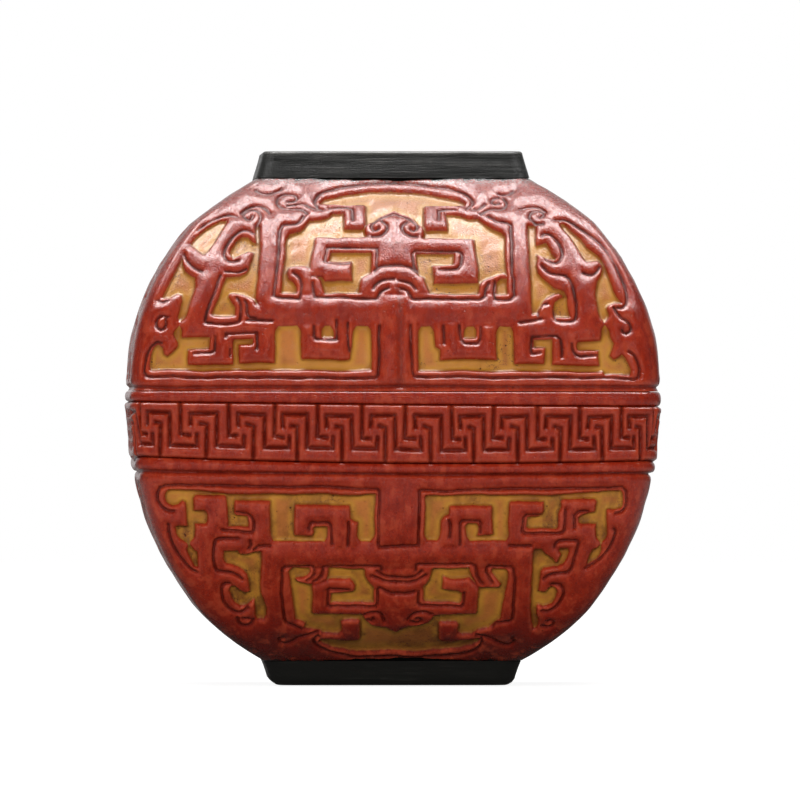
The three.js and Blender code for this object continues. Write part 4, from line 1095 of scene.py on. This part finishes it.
class POT_OT_stage(bpy.types.Operator):
    """Set the floor, the backdrop, the lights and the camera"""

    bl_idname = "water_pot.stage"
    bl_label = "Stage"

    def execute(self, context):
        scene = context.scene
        bpy.ops.mesh.primitive_plane_add(size=6, location=(0, 0, -0.0002))
        floor = context.object
        floor.name = "stage_floor"
        floor.data.materials.append(stage_material())
        scene.world = white_world()
        # Each lamp: its place, size, brightness and whether it lights the colours or only shines in the glaze
        lamps = (
            ("key", (-0.12, -1.43, 0.32), (0.7, 0.7), 11.6, "soft"),
            ("top", (0.0, 0.05, 1.05), (0.9, 0.6), 3.0, "soft"),
            ("right", (1.1, -0.1, 0.2), (0.9, 0.9), 1.3, "soft"),
            ("left", (-1.1, -0.1, 0.2), (0.9, 0.9), 1.3, "soft"),
            ("sky", (0.0, -0.02, 1.05), (1.4, 0.62), 14.5, "shine"),
            ("backdrop", (0.0, 1.6, 0.55), (3.2, 1.8), 0.6, "shine"),
            ("glint_left", (-0.7, -1.5, 0.12), (0.05, 0.05), 22.0, "shine"),
            ("glint_right", (0.5, -1.5, 0.75), (0.05, 0.05), 22.0, "shine"),
        )
        for name, place, size, strength, kind in lamps:
            bpy.ops.object.light_add(type="AREA", location=place)
            lamp = context.object
            lamp.name = name
            lamp.data.shape = "RECTANGLE"
            lamp.data.size, lamp.data.size_y = size
            lamp.data.energy = strength * math.pi * size[0] * size[1]
            lamp.visible_camera = False
            lamp.visible_glossy = kind == "shine"
            lamp.visible_diffuse = kind == "soft"
            aim = Vector((0, 0, 0.05)) - Vector(place)
            lamp.rotation_euler = aim.to_track_quat("-Z", "Y").to_euler()
        turn, distance, shift, eye = math.radians(1.26), 4.0, 0.00185, 0.0529
        right = Vector((math.cos(turn), -math.sin(turn), 0))
        place = Vector((-math.sin(turn), -math.cos(turn), 0)) * distance + right * shift
        place.z = eye
        bpy.ops.object.camera_add(location=place, rotation=(math.pi / 2, 0, -turn))
        scene.camera = context.object
        lens = scene.camera.data
        lens.lens, lens.sensor_width, lens.clip_end = 965.6, 36, 100
        scene.view_settings.view_transform = "Standard"
        return {"FINISHED"}


def stage_material():
    """White to the camera, with the pot's soft shadow kept; to glossy rays a painted glow that is dim next to
    the pot as a painted shadow; a dull grey to everything else.
    """
    material = bpy.data.materials.new("stage_white")
    material.use_nodes = True
    w = Wires(material.node_tree)
    shader = material.node_tree.nodes["Principled BSDF"].inputs
    w.put(0.9, shader["Roughness"])
    w.put(0.0, shader["Specular IOR Level"])
    w.put((1, 1, 1, 1), shader["Emission Color"])
    path = w.node("ShaderNodeLightPath")
    seen, mirrored = path.outputs["Is Camera Ray"], path.outputs["Is Glossy Ray"]
    w.put(w.mix(seen, (0.15, 0.14, 0.13, 1), (0.40, 0.40, 0.40, 1)), shader["Base Color"])
    reach = w.node("ShaderNodeVectorMath", operation="LENGTH")
    w.put(w.node("ShaderNodeNewGeometry").outputs["Position"], reach.inputs[0])
    away = reach.outputs["Value"]
    # To glossy rays the floor glows as a painted reflection, dim right next to the pot as a painted shadow
    # and fading farther out.
    shine = w.times(w.step(away, 0.05, 0.13, 0.02, 0.35), w.step(away, 0.18, 0.40, 1.0, 0.15))
    bright = w.total((seen, w.step(away, 0.10, 0.60, 0.90)), (mirrored, shine))
    w.put(bright, shader["Emission Strength"])
    return material


def white_world():
    """A white backdrop to the camera and a dim soft light to everything else."""
    world = bpy.data.worlds.new("studio")
    world.use_nodes = True
    w = Wires(world.node_tree)
    soft = world.node_tree.nodes["Background"].inputs
    w.put((1, 1, 1, 1), soft["Color"])
    seen = w.node("ShaderNodeLightPath").outputs["Is Camera Ray"]
    w.put(w.total((seen, 0.96), (0.04, 1.0)), soft["Strength"])
    return world


class POT_PT_panel(bpy.types.Panel):
    """Sizes, colours and build steps of the pot"""

    bl_idname = "POT_PT_panel"
    bl_label = "Water Pot"
    bl_space_type = "VIEW_3D"
    bl_region_type = "UI"
    bl_category = "Water Pot"

    def draw(self, context):
        for label in PotSettings.__annotations__:
            self.layout.prop(context.scene.water_pot, label)
        for step in STEPS:
            self.layout.operator(step.bl_idname)


STEPS = (POT_OT_relief, POT_OT_band, POT_OT_ribs, POT_OT_neck, POT_OT_foot, POT_OT_lining, POT_OT_stage)


def register():
    for item in (PotSettings, *STEPS, POT_PT_panel):
        bpy.utils.register_class(item)
    bpy.types.Scene.water_pot = bpy.props.PointerProperty(type=PotSettings)


def unregister():
    del bpy.types.Scene.water_pot
    for item in (POT_PT_panel, *reversed(STEPS), PotSettings):
        bpy.utils.unregister_class(item)


def main():
    register()
    for step in STEPS:
        operator = getattr(bpy.ops.water_pot, step.bl_idname.split(".")[1])
        if operator() != {"FINISHED"}:
            raise RuntimeError(step.bl_idname)


if __name__ == "__main__":
    main()
